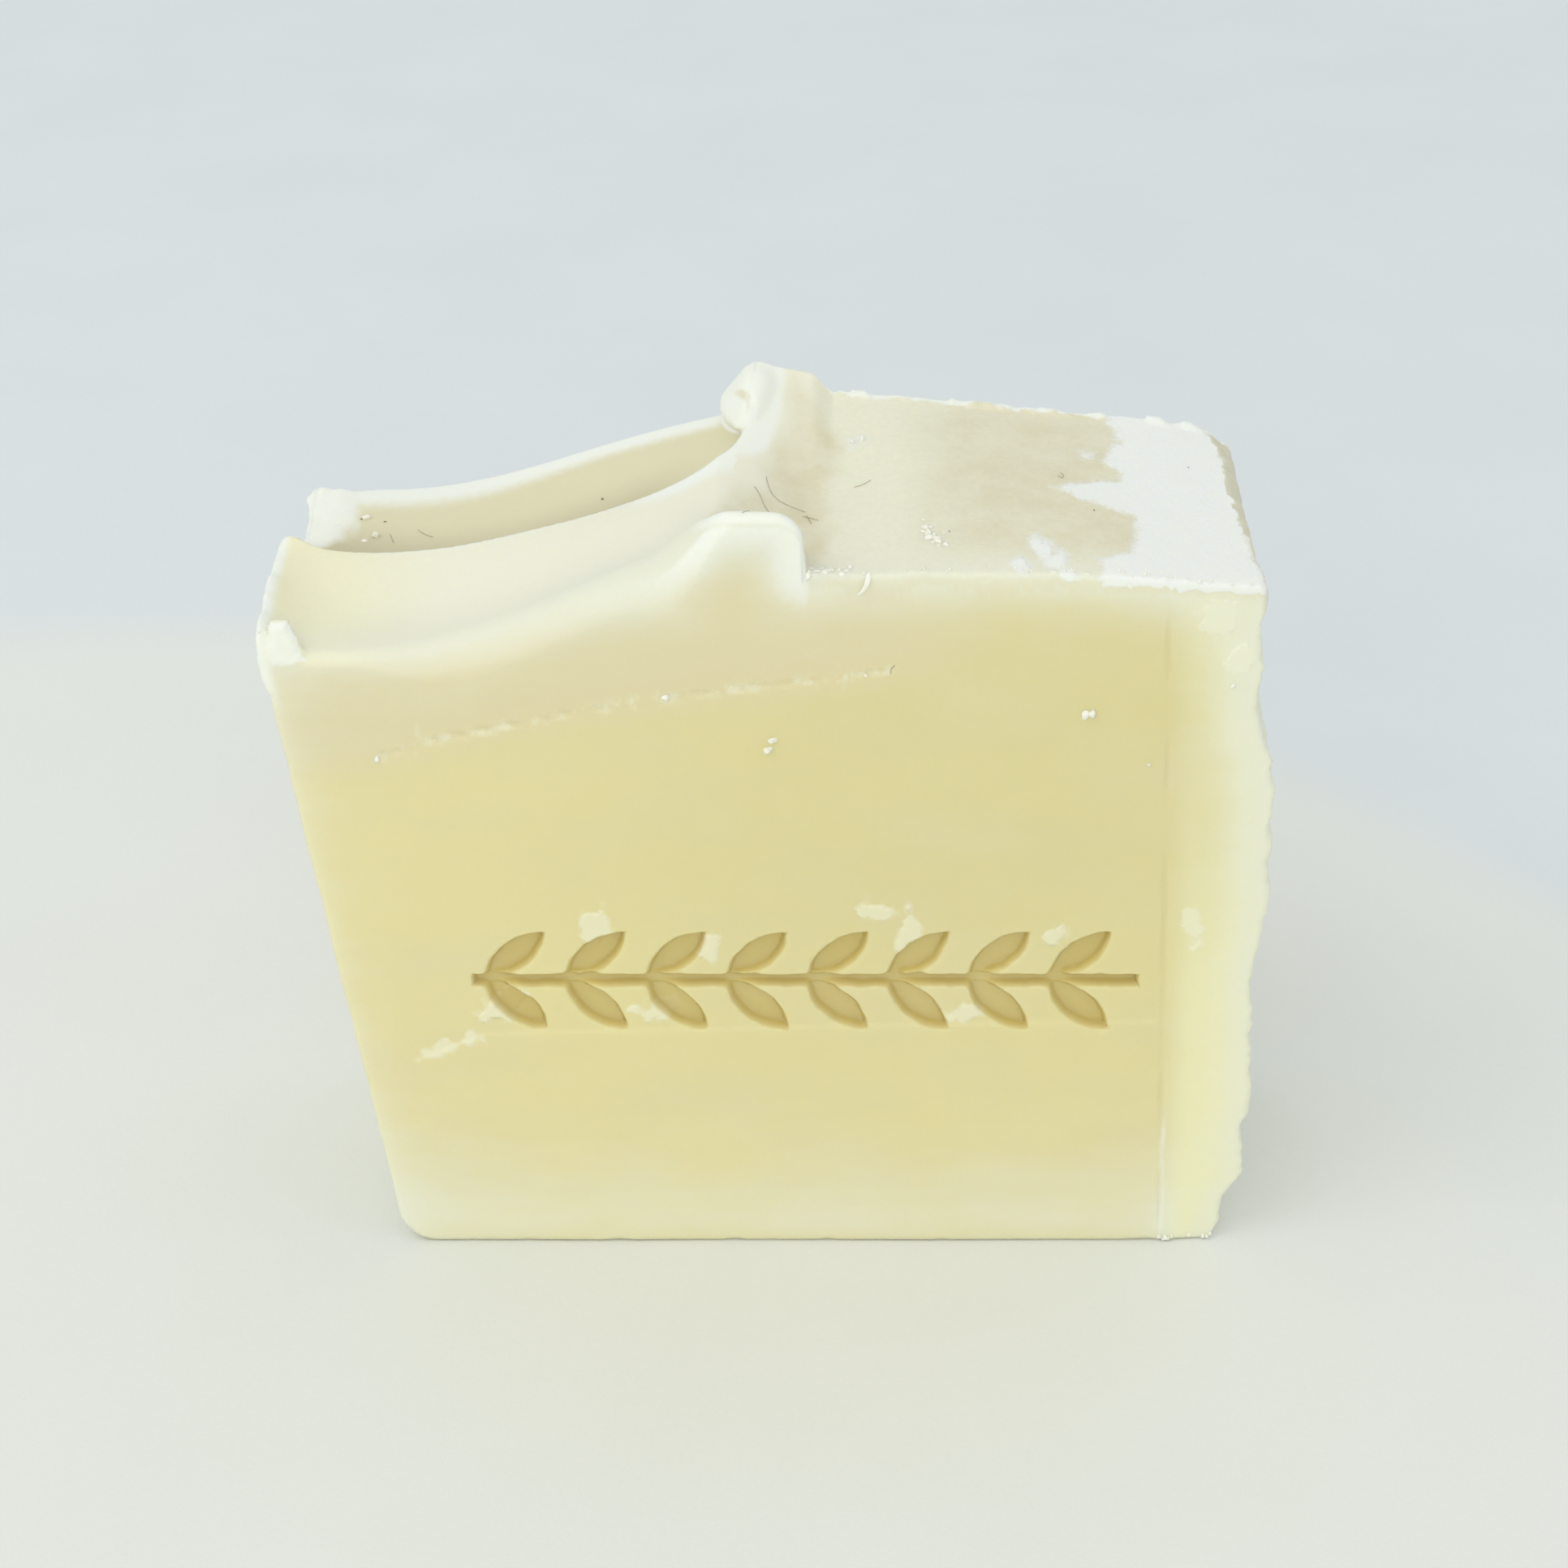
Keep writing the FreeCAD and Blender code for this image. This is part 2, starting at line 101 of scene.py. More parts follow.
# Outline of the white ash powder at the right of the deck, as x and y
ASH_OUTLINE = [(29.3, 15.5), (29.6, 13.5), (30.4, 9.8), (28.7, 5.9), (29.9, 4.1), (29.8, 2.5),
               (23.9, 0.3), (26.6, -1.4), (29.4, -2.9), (30.7, -3.7), (30.6, -6.7), (29.9, -10.2),
               (27.5, -11.5), (27.2, -15.5), (41.8, -15.5), (40.9, -11.6), (40.1, -4.8),
               (39.8, 4.4), (39.1, 12.4), (36.5, 15.5)]
# Outline of the brown tint in the hollow beside the ridge, as x and y
HOLLOW_OUTLINE = [(2.2, 13.6), (4.6, 11.6), (6.2, 6.8), (5.4, 1.9), (4.5, -2.6), (5.1, -8.0),
                  (4.4, -14.0), (2.8, -14.0), (2.6, -8.0), (-5.0, -8.0), (-3.2, -3.4), (-1.0, 0.4),
                  (0.6, 6.2), (1.2, 11.0)]
# How thick the powder lies, and how deep the deck's right end beside it is chipped
ASH_THICKNESS = 0.10
CHIPPED_DEPTH = 0.9
# Spots of the same powder on the deck: x, y and radius
ASH_SPOTS = [(27.4, 6.7, 0.5), (22.1, -9.6, 0.6), (22.8, -10.8, 0.85), (23.6, -12.4, 0.9),
             (20.5, -13.0, 0.6), (7.9, 7.5, 0.3), (7.0, 7.2, 0.25), (24.3, -14.4, 0.7)]

# Thin pale flakes lifted beside the stamp and on the strip: x, z, half length, half height, turn, lift
FLAKES = [(-23.4, 25.2, 2.2, 1.5, 0.5, 0.10), (-15.2, 33.0, 1.4, 2.4, 0.2, 0.08),
          (-5.8, 31.6, 1.2, 1.5, 0.0, 0.07), (9.4, 35.0, 1.9, 0.9, 0.2, 0.10),
          (11.6, 32.2, 0.9, 1.9, -0.2, 0.08), (-9.5, 25.0, 2.2, 0.7, 0.1, 0.06),
          (17.5, 24.8, 2.4, 0.6, 0.0, 0.06), (24.5, 32.6, 1.2, 0.8, 0.4, 0.07),
          (36.9, 63.6, 1.7, 1.6, 0.0, 0.05), (39.1, 59.7, 1.3, 1.5, 0.1, 0.06),
          (36.4, 33.4, 1.0, 2.2, 0.1, 0.05), (-28.5, 21.2, 2.6, 0.5, 0.35, 0.05)]

# White flake that stands at the front end of the left rim, as x and z
CHIP_OUTLINE = [(-41.9, 59.2), (-38.3, 59.3), (-39.9, 63.1), (-41.6, 63.2)]

# Scratch across the front face, as x and z
SCRATCH_X = [-33.5, -28.6, -23.8, -17.0, -8.8, -3.4, 3.4, 10.1]
SCRATCH_Z = [50.3, 52.0, 53.1, 54.6, 56.1, 56.9, 57.8, 58.8]

# Pale band under the front slope's edge, partly the cutter's smear and partly a painted highlight where
# the rounded edge catches light from above: where it starts to fade and ends below that edge, at each x
SMEAR_AND_HIGHLIGHT_X = [-27, -21, -14, -8, 1, 4.5]
SMEAR_AND_HIGHLIGHT_START = [-0.5, -0.5, 0.0, 0.5, 1.0, -0.5]
SMEAR_AND_HIGHLIGHT_END = [2.8, 4.0, 5.5, 7.0, 7.5, 2.4]

# Lower border of the place that the stamp's plate pressed in, as x and z, and how deep it is
PRESSED_X = [-31.9, -24.9, 3.5, 33.3]
PRESSED_Z = [19.5, 22.6, 23.3, 23.9]
PRESSED_DEPTH = 0.12

# Single crumbs on the top (x, y, lift and radius) and on the front face (x, z, lift and radius)
TOP_CRUMBS = [(7.9, 7.5, 0.05, 0.26), (7.0, 7.2, 0.05, 0.2), (-34.6, 6.6, 0.1, 0.35),
              (-35.6, 6.0, 0.0, 0.25), (-35.6, 9.4, 0.1, 0.28)]
FRONT_CRUMBS = [(26.3, 54.4, -0.1, 0.6), (26.9, 54.6, -0.05, 0.4), (31.9, 49.7, 0.0, 0.16),
                (-8.8, 56.1, 0.0, 0.3), (7.9, 58.2, 0.0, 0.16), (-33.2, 50.2, 0.0, 0.28),
                (38.6, 57.0, 0.0, 0.2), (0.1, 52.1, -0.1, 0.5), (-0.2, 51.2, -0.1, 0.45)]
# Dark specks on the top: x, y and radius
SPECKS = [(-36.1, 9.3, 0.11), (-34.0, 8.9, 0.11), (27.3, -3.2, 0.1), (14.9, -7.9, 0.08),
          (-14.7, 6.4, 0.09), (36.1, 6.2, 0.07)]

# Fine hairs on the top, as x and y, with one more on the nose and one on the front face
HAIRS = [[(-0.4, 1.2), (-0.3, 0.0), (0.4, -1.6), (1.7, -2.1), (2.9, -2.7)],
         [(-1.4, -0.8), (-0.9, -1.6), (-0.6, -3.2), (0.3, -4.6), (0.6, -3.9)],
         [(2.7, -3.4), (3.6, -3.8), (4.0, -4.2)],
         [(7.1, 0.5), (7.9, 0.6), (8.5, 1.2)],
         [(3.0, -3.2), (3.4, -4.6)],
         [(24.6, 2.4), (24.9, 1.8), (25.1, 2.6), (24.8, 2.9)],
         [(-33.4, 6.9), (-33.0, 5.6)],
         [(-31.0, 7.4), (-30.2, 6.4), (-29.6, 6.2)],
         [(-12.4, 4.2), (-11.8, 3.9), (-11.4, 4.3)]]
NOSE_HAIR = [(-2.3, -14.0), (-2.1, -13.4), (-1.7, -13.3)]
FRONT_HAIR = [(10.3, 59.2, 0.03), (9.9, 58.9, 0.06), (10.0, 58.4, 0.03)]
HAIR_THICKNESS = 0.04

# Curled shaving: its middle line, and half its width at each point of it
SHAVING_LINE = [(8.1, -14.3, 67.75), (8.0, -14.72, 67.3), (7.9, -14.8, 66.8), (7.6, -14.78, 66.2),
                (7.1, -14.7, 65.8)]
SHAVING_WIDTHS = [0.30, 0.34, 0.30, 0.22, 0.08]

# Photograph's viewpoint: place in millimetres, tilt in degrees, lens and sensor in millimetres
CAMERA_PLACE = (1.104, -305.68, 215.89)
CAMERA_TILT = 60
CAMERA_LENS = 91.3
CAMERA_SENSOR = 36

# Soft lights: name, place, aim, size and power
LIGHTS = [("key", (-700, -450, 1100), (0, 60, 0), 800, 2.85),
          ("front", (-150, -1000, 420), (0, 0, 35), 700, 2.3)]
LIGHT_COLOUR = (1.0, 0.99, 0.96)
SKY_COLOUR = (0.93, 0.97, 1.0, 1.0)
SKY_STRENGTH = 0.84

# Half the floor's side
FLOOR_SIZE = 2500.0

# Grid pitch of the surface: fine where the shape is detailed, coarse in between, and how far the
# grid reaches past the soap
FINE = 0.25
COARSE = 2 * FINE
MARGIN = 1.5
TRIANGLES = 190000

NOISE_TABLE = np.random.default_rng(11).uniform(-1, 1, 8192)
NOISE_PRIMES = (73856093, 19349663, 83492791)


def smooth(value, start, end):
    """Smooth step from 0 at start to 1 at end."""
    share = np.clip((value - start) / (end - start), 0, 1)
    return share * share * (3 - 2 * share)


def noise(seed, *places):
    """Smooth noise from -1 to 1, about one bump for each unit of each place."""
    cells = [np.floor(place).astype(np.int64) for place in places]
    shares = [place - cell for place, cell in zip(places, cells)]
    fades = [share * share * (3 - 2 * share) for share in shares]
    total = 0.0
    for corner in itertools.product((0, 1), repeat=len(places)):
        key = seed * 2654435761
        weight = 1.0
        for cell, fade, bit, prime in zip(cells, fades, corner, NOISE_PRIMES):
            key = key ^ ((cell + bit) * prime)
            weight = weight * (fade if bit else 1 - fade)
        total = total + NOISE_TABLE[(key >> 3) % len(NOISE_TABLE)] * weight
    return total


def rough(seed, octaves, *places):
    """Noise with finer noise added to it."""
    total = 0.0
    for octave in range(octaves):
        total = total + noise(seed + octave, *(place * 2 ** octave for place in places)) / 2 ** octave
    return total


def round_cut(a, b, radius):
    """What lies inside both fields, with their shared edge rounded."""
    corner = np.hypot(np.maximum(a + radius, 0), np.maximum(b + radius, 0))
    return np.minimum(np.maximum(a, b), -radius) + corner


def round_join(a, b, radius):
    """What lies inside either field, with their seam filled."""
    share = np.clip(0.5 + 0.5 * (b - a) / radius, 0, 1)
    return b + (a - b) * share - radius * share * (1 - share)


def outline_depth(x, y, corners):
    """How deep a place lies inside a closed outline. Outside, it is negative."""
    nearest = np.full(np.broadcast(x, y).shape, 1e9)
    inside = np.zeros(nearest.shape, bool)
    for (ax, ay), (bx, by) in zip(corners, corners[1:] + corners[:1]):
        ex, ey = bx - ax, by - ay
        share = np.clip(((x - ax) * ex + (y - ay) * ey) / (ex * ex + ey * ey), 0, 1)
        nearest = np.minimum(nearest, np.hypot(x - ax - share * ex, y - ay - share * ey))
        crosses = ((ay > y) != (by > y)) & (x < ax + ex * (y - ay) / (ey if ey else 1e-9))
        inside ^= crosses
    return np.where(inside, nearest, -nearest)


def front_section(x):
    """Height of the top along the front cut."""
    climb = 9.2 * smooth(x, RIDGE - 29, RIDGE - 2)
    step_down = 1.5 * smooth(x, RIDGE - 4, RIDGE + 5)
    right_fall = 2.4 * smooth(x, 21, 52)
    return DECK - SLOPE_DROP + climb - step_down - right_fall


def middle_section(x):
    """Height of the top along the crest, over the saddle and along the middle of the deck."""
    share = np.clip((x - LEFT + 1) / (1 - LEFT - 4.6), 0, 1)
    climb = 8.3 * share ** 1.9
    fall = 2.0 * smooth(x, RIDGE - 2.5, RIDGE + 5)
    swell = 1.1 * smooth(x, RIDGE + 5, RIDGE + 15)
    right_fall = 3.2 * smooth(x, RIDGE + 15, 54)
    return DECK - 6.1 + climb - fall + swell - right_fall


def back_section(x):
    """Height of the top along the back cut: the peak, and the deck beside it."""
    peak = DECK + 6.0
    left_fall = 6.7 * (np.maximum(RIDGE + 1 - x, 0) / 23) ** 1.5
    peak_fall = 0.9 * smooth(x, RIDGE, RIDGE + 7.5) + 1.8 * smooth(x, RIDGE + 5.4, RIDGE + 7.6)
    right_fall = 0.1 * np.maximum(x - 6, 0) + 1.0 * smooth(x, 30, 46)
    return peak - left_fall - peak_fall - right_fall


def crest_y(x):
    """Plan line of the crest."""
    flare = 4.0 * (np.maximum(-25 - x, 0) / 17) ** 2
    return CREST_Y + CREST_BEND / (CREST_X - np.minimum(x, CREST_END)) + flare


def behind_crest(x, y):
    """Distance behind the crest line. It is negative in front of it and right of the ridge."""
    step = 0.05
    slope = (crest_y(x + step) - crest_y(x - step)) / (2 * step)
    return np.where(x > CREST_END, -5.0, (y - crest_y(x)) / np.hypot(1, slope))


def nose_height(x, y):
    """How far the thin nose at the front end of the ridge stands up from the front slope."""
    base = front_section(x)
    slope = NOSE_TOP - (NOSE_TOP - base) * (1 - smooth(x, RIDGE - 8.5, RIDGE - 1.2))
    turn = NOSE_TOP - NOSE_RADIUS + NOSE_RADIUS * np.sqrt(1 - np.clip(x / NOSE_RADIUS, 0, 1) ** 2)
    height = np.maximum(np.where(x > 0, turn, slope) - base, 0) * (1 - smooth(x, 2.55, 3.1))
    depth = y - FRONT
    blunt = 1 - smooth(depth, 0.8, 6.0)
    long = 1 - smooth(depth, 0, 12)
    share = smooth(x, -7.4, -2.6)
    return height * (blunt * share + long * (1 - share))


def valley_height(x, y):
    """Height behind the crest: the valley's floor rising to the back ridge."""
    floor = DECK - SLOPE_DROP + 8.4 * smooth(x, RIDGE - 26, RIDGE + 5)
    floor = floor + 1.6 * smooth(x, RIDGE - 7, RIDGE)
    back_ridge = DECK - 6.3 + 8.0 * smooth(x, RIDGE - 32, RIDGE + 4)
    length = np.maximum(BACK - crest_y(x), 0.5)
    share = np.clip((y - crest_y(x)) / length, 0, 1)
    return floor + (back_ridge - floor) * smooth(share, 0.05, 1.0) ** 0.9


def rim_height(x, y):
    """How far the soap creeps up the mould's wall along the left rim."""
    climb = 3.4 - 2.4 * smooth(y, FRONT + 1, 4) + 0.3 * rough(35, 2, x / 3, y / 2.4)
    lump = 0.7 * np.exp(-((x + 40.9) / 1.7) ** 2 - ((y - 4.0) / 1.9) ** 2)
    return climb * np.clip((-37.6 - x) / 5.4, 0, 1) ** 2.2 + lump


def ash_depth(x, y):
    """How deep a place lies inside the white powder on the deck."""
    depth = outline_depth(x, y, ASH_OUTLINE)
    for spot_x, spot_y, radius in ASH_SPOTS:
        depth = np.maximum(depth, radius - np.hypot(x - spot_x, 0.55 * (y - spot_y)))
    return depth + 0.3 * rough(31, 3, x / 0.9, y / 1.3)


def chipped_depth(x, y):
    """How deep a place lies inside the chipped strip along the deck's right end."""
    ragged = 0.35 * rough(41, 3, y / 1.1, x / 2)
    return x - (40.9 - 1.5 * smooth(y, -13.5, 4) - 0.9 * smooth(y, 8, 14) + ragged)


def back_crumbs(x, y):
    """1 where crumbs stand along the back cut."""
    return smooth(rough(7, 3, x / 1.6, y / 3), -0.3, 0.9) * smooth(y, BACK - 1.4, BACK - 0.6)


def front_crumbs(x, y):
    """1 where crumbs stand along the front cut of the deck."""
    return smooth(rough(8, 2, x / 0.9, y / 2), 0.0, 1.0) * smooth(-y, -FRONT - 0.9, -FRONT - 0.4)


def top_height(x, y):
    """Height of the sculpted top."""
    share = (y - FRONT) / DEPTH
    near, middle, far = (1 - share) * (1 - 2 * share), 4 * share * (1 - share), share * (2 * share - 1)
    front, centre = front_section(x), middle_section(x)
    right_part = front * near + centre * middle + back_section(x) * far
    # Left of the ridge, the slope climbs from the front cut to the crest, with a shallow trough
    climb = np.clip((y - FRONT) / np.maximum(crest_y(x) - FRONT, 1), 0, 1.6)
    trough = 0.9 * smooth(x, -44, -34) * (1 - smooth(x, -9, -4))
    left_part = front + (centre - front) * climb - trough * np.sin(np.pi * np.clip(climb, 0, 1)) ** 2
    blend = smooth(x, -11, -4)
    wave = right_part * blend + left_part * (1 - blend) + nose_height(x, y) + rim_height(x, y)
    behind = smooth(behind_crest(x, y), 0, 1.2)
    height = wave * (1 - behind) + valley_height(x, y) * behind
    # Soft lumps of the poured top, and the dry grain of the deck
    height = height + 0.07 * rough(3, 2, x / 7, y / 7)
    on_deck = smooth(x, 2, 7)
    height = height + on_deck * 0.022 * rough(5, 3, x / 1.6, y / 1.6)
    height = height + ASH_THICKNESS * smooth(ash_depth(x, y), -0.1, 0.25) * on_deck
    height = height - CHIPPED_DEPTH * smooth(chipped_depth(x, y), 0, 1.6)
    # Crumbs left standing along the back cut and the front cut of the deck
    height = height + on_deck * (0.4 * back_crumbs(x, y) + 0.3 * front_crumbs(x, y))
    # Back left corner, broken away
    broken = smooth(-x, 40.3, 41.2) * smooth(y, 4.5, 6.5)
    return height * (1 - broken) + np.minimum(height, 57 + 0.5 * noise(9, x, y)) * broken


def below_top(x, z):
    """Distance below the top's outline on the front face."""
    line = np.concatenate([np.arange(-46, -8, 2.0), np.arange(-8, 4, 0.5), np.arange(4, 46, 4.0)])
    heights = front_section(line) + nose_height(line, FRONT)
    return outline_depth(x, z, [(60, -60), (-60, -60), *zip(line, heights)])


def stamp_gap(x, z):
    """Distance to the stamped ornament in the front face. Inside it, it is negative."""
    middle = (STEM_LEFT + STEM_RIGHT) / 2
    length = STEM_RIGHT - STEM_LEFT
    gap = np.maximum(np.abs(x - middle) - length / 2, np.abs(z - STEM_Z) - STEM_WIDTH / 2)
    half = math.hypot(LEAF_REACH, LEAF_RISE) / 2
    offset = math.sqrt(LEAF_BOW ** 2 - half ** 2)
    for pair in range(LEAF_PAIRS):
        root_x = STEM_LEFT + STEM_WIDTH + pair * LEAF_SPACING
        for side in (1, -1):
            centre_x = root_x + LEAF_REACH / 2
            centre_z = STEM_Z + side * (STEM_WIDTH / 4 + LEAF_RISE / 2)
            across_x = -side * LEAF_RISE / (2 * half) * offset
            across_z = LEAF_REACH / (2 * half) * offset
            one = np.hypot(x - centre_x - across_x, z - centre_z - across_z) - LEAF_BOW
            other = np.hypot(x - centre_x + across_x, z - centre_z + across_z) - LEAF_BOW
            gap = round_join(gap, np.maximum(one, other), 0.5)
    return gap + 0.08 * rough(13, 2, x / 1.3, z / 1.3)


def flake_depth(x, z):
    """How deep a place lies inside a lifted flake, and how far that flake is lifted."""
    depth, lift = np.full(np.broadcast(x, z).shape, -9.0), 0.0
    for flake_x, flake_z, length, height, turn, flake_lift in FLAKES:
        along = (x - flake_x) * math.cos(turn) + (z - flake_z) * math.sin(turn)
        up = (z - flake_z) * math.cos(turn) - (x - flake_x) * math.sin(turn)
        inside = (1 - np.hypot(along / length, up / height)) * min(length, height)
        lift = np.where(inside > depth, flake_lift, lift)
        depth = np.maximum(depth, inside)
    return depth + 0.5 * rough(17, 3, x / 1.2, z / 1.2), lift


def strip_x(z):
    """Line where the front face's right strip begins to lean back."""
    return STRIP_X - STRIP_LEAN * z


def scratch_gap(x, z):
    """Distance above or below the scratch across the front face. It grows past the scratch's ends."""
    past_ends = 3 * smooth(x, 10, 12) + 3 * smooth(-x, 33, 35)
    return np.abs(z - np.interp(x, SCRATCH_X, SCRATCH_Z)) + past_ends


def front_depth(x, z):
    """How far the front face lies behind the flat of the cut."""
    depth = 0.06 + 0.05 * rough(19, 3, x / 14, z / 9) + 0.012 * rough(20, 2, x / 1.2, z / 4.5)
    past = np.maximum(x - strip_x(z), 0)
    depth = depth + STRIP_SET_BACK * np.minimum(past / STRIP_WIDTH, 1.2)
    groove = 1 - smooth(np.abs(x - strip_x(z)), 0.05, 0.35)
    depth = depth + 0.14 * groove * smooth(noise(21, z / 5, x * 0), -0.5, 0.3)
    scratch = 0.10 * (1 - smooth(scratch_gap(x, z), 0, 0.5))
    depth = depth + scratch * smooth(noise(22, x / 2, z / 2), -0.4, 0.4)
    # The stamp's plate pressed the face in a little round the ornament
    pressed = z - np.interp(x, PRESSED_X, PRESSED_Z)
    sides = smooth(x, -33, -29) * (1 - smooth(x, 33, 35))
    depth = depth + PRESSED_DEPTH * smooth(pressed, -0.35, 0.35) * (1 - smooth(z, 30, 46)) * sides
    inside, lift = flake_depth(x, z)
    depth = depth - lift * smooth(inside, 0, 0.2)
    return depth + STAMP_DEPTH * smooth(-stamp_gap(x, z), -0.15, 0.4)


def left_x(z):
    """The leaning left side, with the soft roll under its rim."""
    roll = 0.4 * np.exp(-((z - 58.5) / 1.9) ** 2)
    return np.maximum(FOOT_X - LEAN * z - roll, LEFT + 0.1)


def right_x(y, z):
    """The rough right side."""
    scallops = 0.30 * rough(23, 3, y / 6, z / 2.6) + 0.10 * rough(26, 2, y / 0.9, z / 0.9)
    return np.interp(z, RIGHT_EDGE_Z, RIGHT_EDGE_X) + scallops - 0.15


def front_rounding(x):
    """Radius of the edge between the front face and the top, which the cutter smeared on the left."""
    smeared = smooth(x, -40, -24) * (1 - smooth(x, -6.5, -2.5))
    shoulder = np.exp(-((x + 8) / 3.0) ** 2)
    return 0.35 + 2.8 * smeared + 1.0 * shoulder + 0.5 * smooth(x, -6, -2) * (1 - smooth(x, 2.6, 3.2))


def right_of_crest(x, y):
    """Distance to the right of the crest, where it runs back to the peak."""
    return x - CREST_X + CREST_BEND / (np.maximum(y, 0.5) - CREST_Y)


def curl_field(x, y, z):
    """Roll of soap at the back end of the ridge, with the groove where its lip turns in."""
    share = smooth(y, 6.5, 13)
    lobe_x, lobe_z, lobe_radius = -2.6 - 0.6 * share, 70.6 - 0.5 * share, 0.3 + 1.0 * share
    lip_x, lip_z, lip_radius = -2.1 + 0.8 * share, 71.0 + 1.1 * share, 0.5 + 1.1 * share
    across, up = lip_x - lobe_x, lip_z - lobe_z
    along = np.clip(((x - lobe_x) * across + (z - lobe_z) * up) / (across ** 2 + up ** 2), 0, 1)
    reach = np.hypot(x - lobe_x - along * across, z - lobe_z - along * up)
    return reach - lobe_radius - (lip_radius - lobe_radius) * along + 3 * (1 - smooth(y, 5, 8.5))


def curl_groove(x, y, z):
    """1 in the groove of the roll, which turns round its inner lobe as seen from the front and above."""
    lifted = z + 0.456 * (y - BACK)
    reach = np.hypot(x + 2.9, lifted - 69.3)
    turn = np.arctan2(x + 2.9, lifted - 69.3)
    ring = 1 - smooth(np.abs(reach - 1.35 + 0.12 * turn), 0.1, 0.75)
    return ring * smooth(turn, -0.9, 0.6) * (1 - smooth(turn, 1.9, 2.9)) * smooth(y, 6, 9)


def knob_field(x, y, z):
    """Lump at the left end of the back ridge."""
    gap_x = np.abs(x + 38.8 + 0.25 * (z - 60)) - 0.5
    gap_y = np.abs(y - 10.2) - 3.2
    gap_z = np.abs(z - 58.7 - 0.22 * (y - 10.2)) - 0.8
    outside = np.sqrt(np.maximum(gap_x, 0) ** 2 + np.maximum(gap_y, 0) ** 2 + np.maximum(gap_z, 0) ** 2)
    inside = np.minimum(np.maximum(np.maximum(gap_x, gap_y), gap_z), 0)
    return outside + inside - 1.6 + 0.45 * rough(27, 2, x / 1.9, y / 2.4, z / 1.9)


def flake_field(x, y, z):
    """Flake that stands at the front end of the left rim."""
    depth = outline_depth(x, z, CHIP_OUTLINE) + 0.15 * rough(43, 2, x / 0.8, z / 0.8)
    return round_cut(-depth, np.abs(y - FRONT - 0.3) - 0.7, 0.25)


def top_steepness(x, y, step=0.1):
    """Length of the top's slope, with which its height becomes a distance."""
    height = top_height(x, y)
    slope_x = (top_height(x + step, y) - height) / step
    slope_y = (top_height(x, y + step) - height) / step
    return np.sqrt(1 + slope_x ** 2 + slope_y ** 2)


def soap_field(x, y, z, steep):
    """Near distance to the soap's surface, in millimetres. Inside the soap it is negative."""
    top = (z - top_height(x, y)) / steep
    top = round_join(top, curl_field(x, y, z), 0.8) + 0.18 * curl_groove(x, y, z)
    top = round_join(top, knob_field(x, y, z), 1.0)
    top = round_join(top, flake_field(x, y, z), 0.3)
    left = (left_x(z) - x) / math.hypot(1, LEAN) + 0.05 * rough(29, 2, y / 5, z / 7)
    left = left + 0.22 * smooth(z, 48, 58) * smooth(rough(34, 3, y / 2.4, z / 1.9), 0.2, 1.3)
    soap = round_cut(left, -z, FOOT_RADIUS)
    soap = round_cut(soap, x - right_x(y, z), 0.5)
    crumble = 0.25 * smooth(noise(30, x / 1.7, z / 1.7), 0.1, 0.9)
    soap = round_cut(soap, FRONT + front_depth(x, z) - y, 0.45 + crumble)
    soap = round_cut(soap, y - BACK + 0.1 + 0.08 * rough(33, 3, x / 12, z / 8), 0.45 + crumble)
    behind_edge = smooth(y, -11, -8)
    rounding = front_rounding(x) * (1 - behind_edge) + 0.3 * behind_edge
    rounding = rounding + smooth(-x, 34, 39) * (0.8 + 0.9 * np.exp(-((y - 4.5) / 2.4) ** 2))
    return round_cut(soap, top, rounding)


def grid_line(low, high, bands):
    """Grid places from low to high, with the fine pitch inside the bands."""
    places = [low]
    while places[-1] < high:
        fine = any(start <= places[-1] < end for start, end in bands)
        places.append(places[-1] + (FINE if fine else COARSE))
    return np.array(places)


def surface_net(field, grid):
    """Points and quads of the surface where the field is zero: one point for each cell it crosses."""
    places, rings = [], []
    for axis in range(3):
        low = field.take(range(field.shape[axis] - 1), axis)
        high = field.take(range(1, field.shape[axis]), axis)
        crossing = (low < 0) != (high < 0)
        index = np.argwhere(crossing)
        low, high = low[crossing], high[crossing]
        place = np.stack([grid[k][index[:, k]] for k in range(3)], axis=1)
        pitch = grid[axis][index[:, axis] + 1] - grid[axis][index[:, axis]]
        place[:, axis] += pitch * low / (low - high)
        # The four cells round this grid edge, in turning order
        second, third = (axis + 1) % 3, (axis + 2) % 3
        ring = np.repeat(index[:, None, :], 4, axis=1)
        ring[:, (1, 2), second] -= 1
        ring[:, (2, 3), third] -= 1
        keys = np.ravel_multi_index(tuple(ring[..., k] for k in range(3)), field.shape)
        keys[low > 0] = keys[low > 0][:, ::-1]
        places.append(np.repeat(place[:, None, :], 4, axis=1))
        rings.append(keys)
    places, rings = np.concatenate(places), np.concatenate(rings)
    _, quads = np.unique(rings.ravel(), return_inverse=True)
    count = np.bincount(quads)
    points = np.stack([np.bincount(quads, places[..., k].ravel()) / count for k in range(3)], axis=1)
    return points, quads.reshape(-1, 4)


def field_normal(points, step=0.1):
    """Direction out of the soap at each point, and the point's distance to the surface."""
    x, y, z = points.T
    steep = top_steepness(x, y)
    here = soap_field(x, y, z, steep)
    slopes = [soap_field(x + step, y, z, steep) - here,
              soap_field(x, y + step, z, steep) - here,
              soap_field(x, y, z + step, steep) - here]
    slopes = np.stack(slopes, axis=1) / step
    length = np.linalg.norm(slopes, axis=1)
    return slopes / np.maximum(length, 1e-6)[:, None], here / np.maximum(length, 0.5)


def new_object(name, points, faces):
    """Object from points in millimetres."""
    mesh = bpy.data.meshes.new(name)
    mesh.from_pydata((np.asarray(points) * MM).tolist(), [], [list(face) for face in faces])
    mesh.update()
    item = bpy.data.objects.new(name, mesh)
    bpy.context.scene.collection.objects.link(item)
    return item


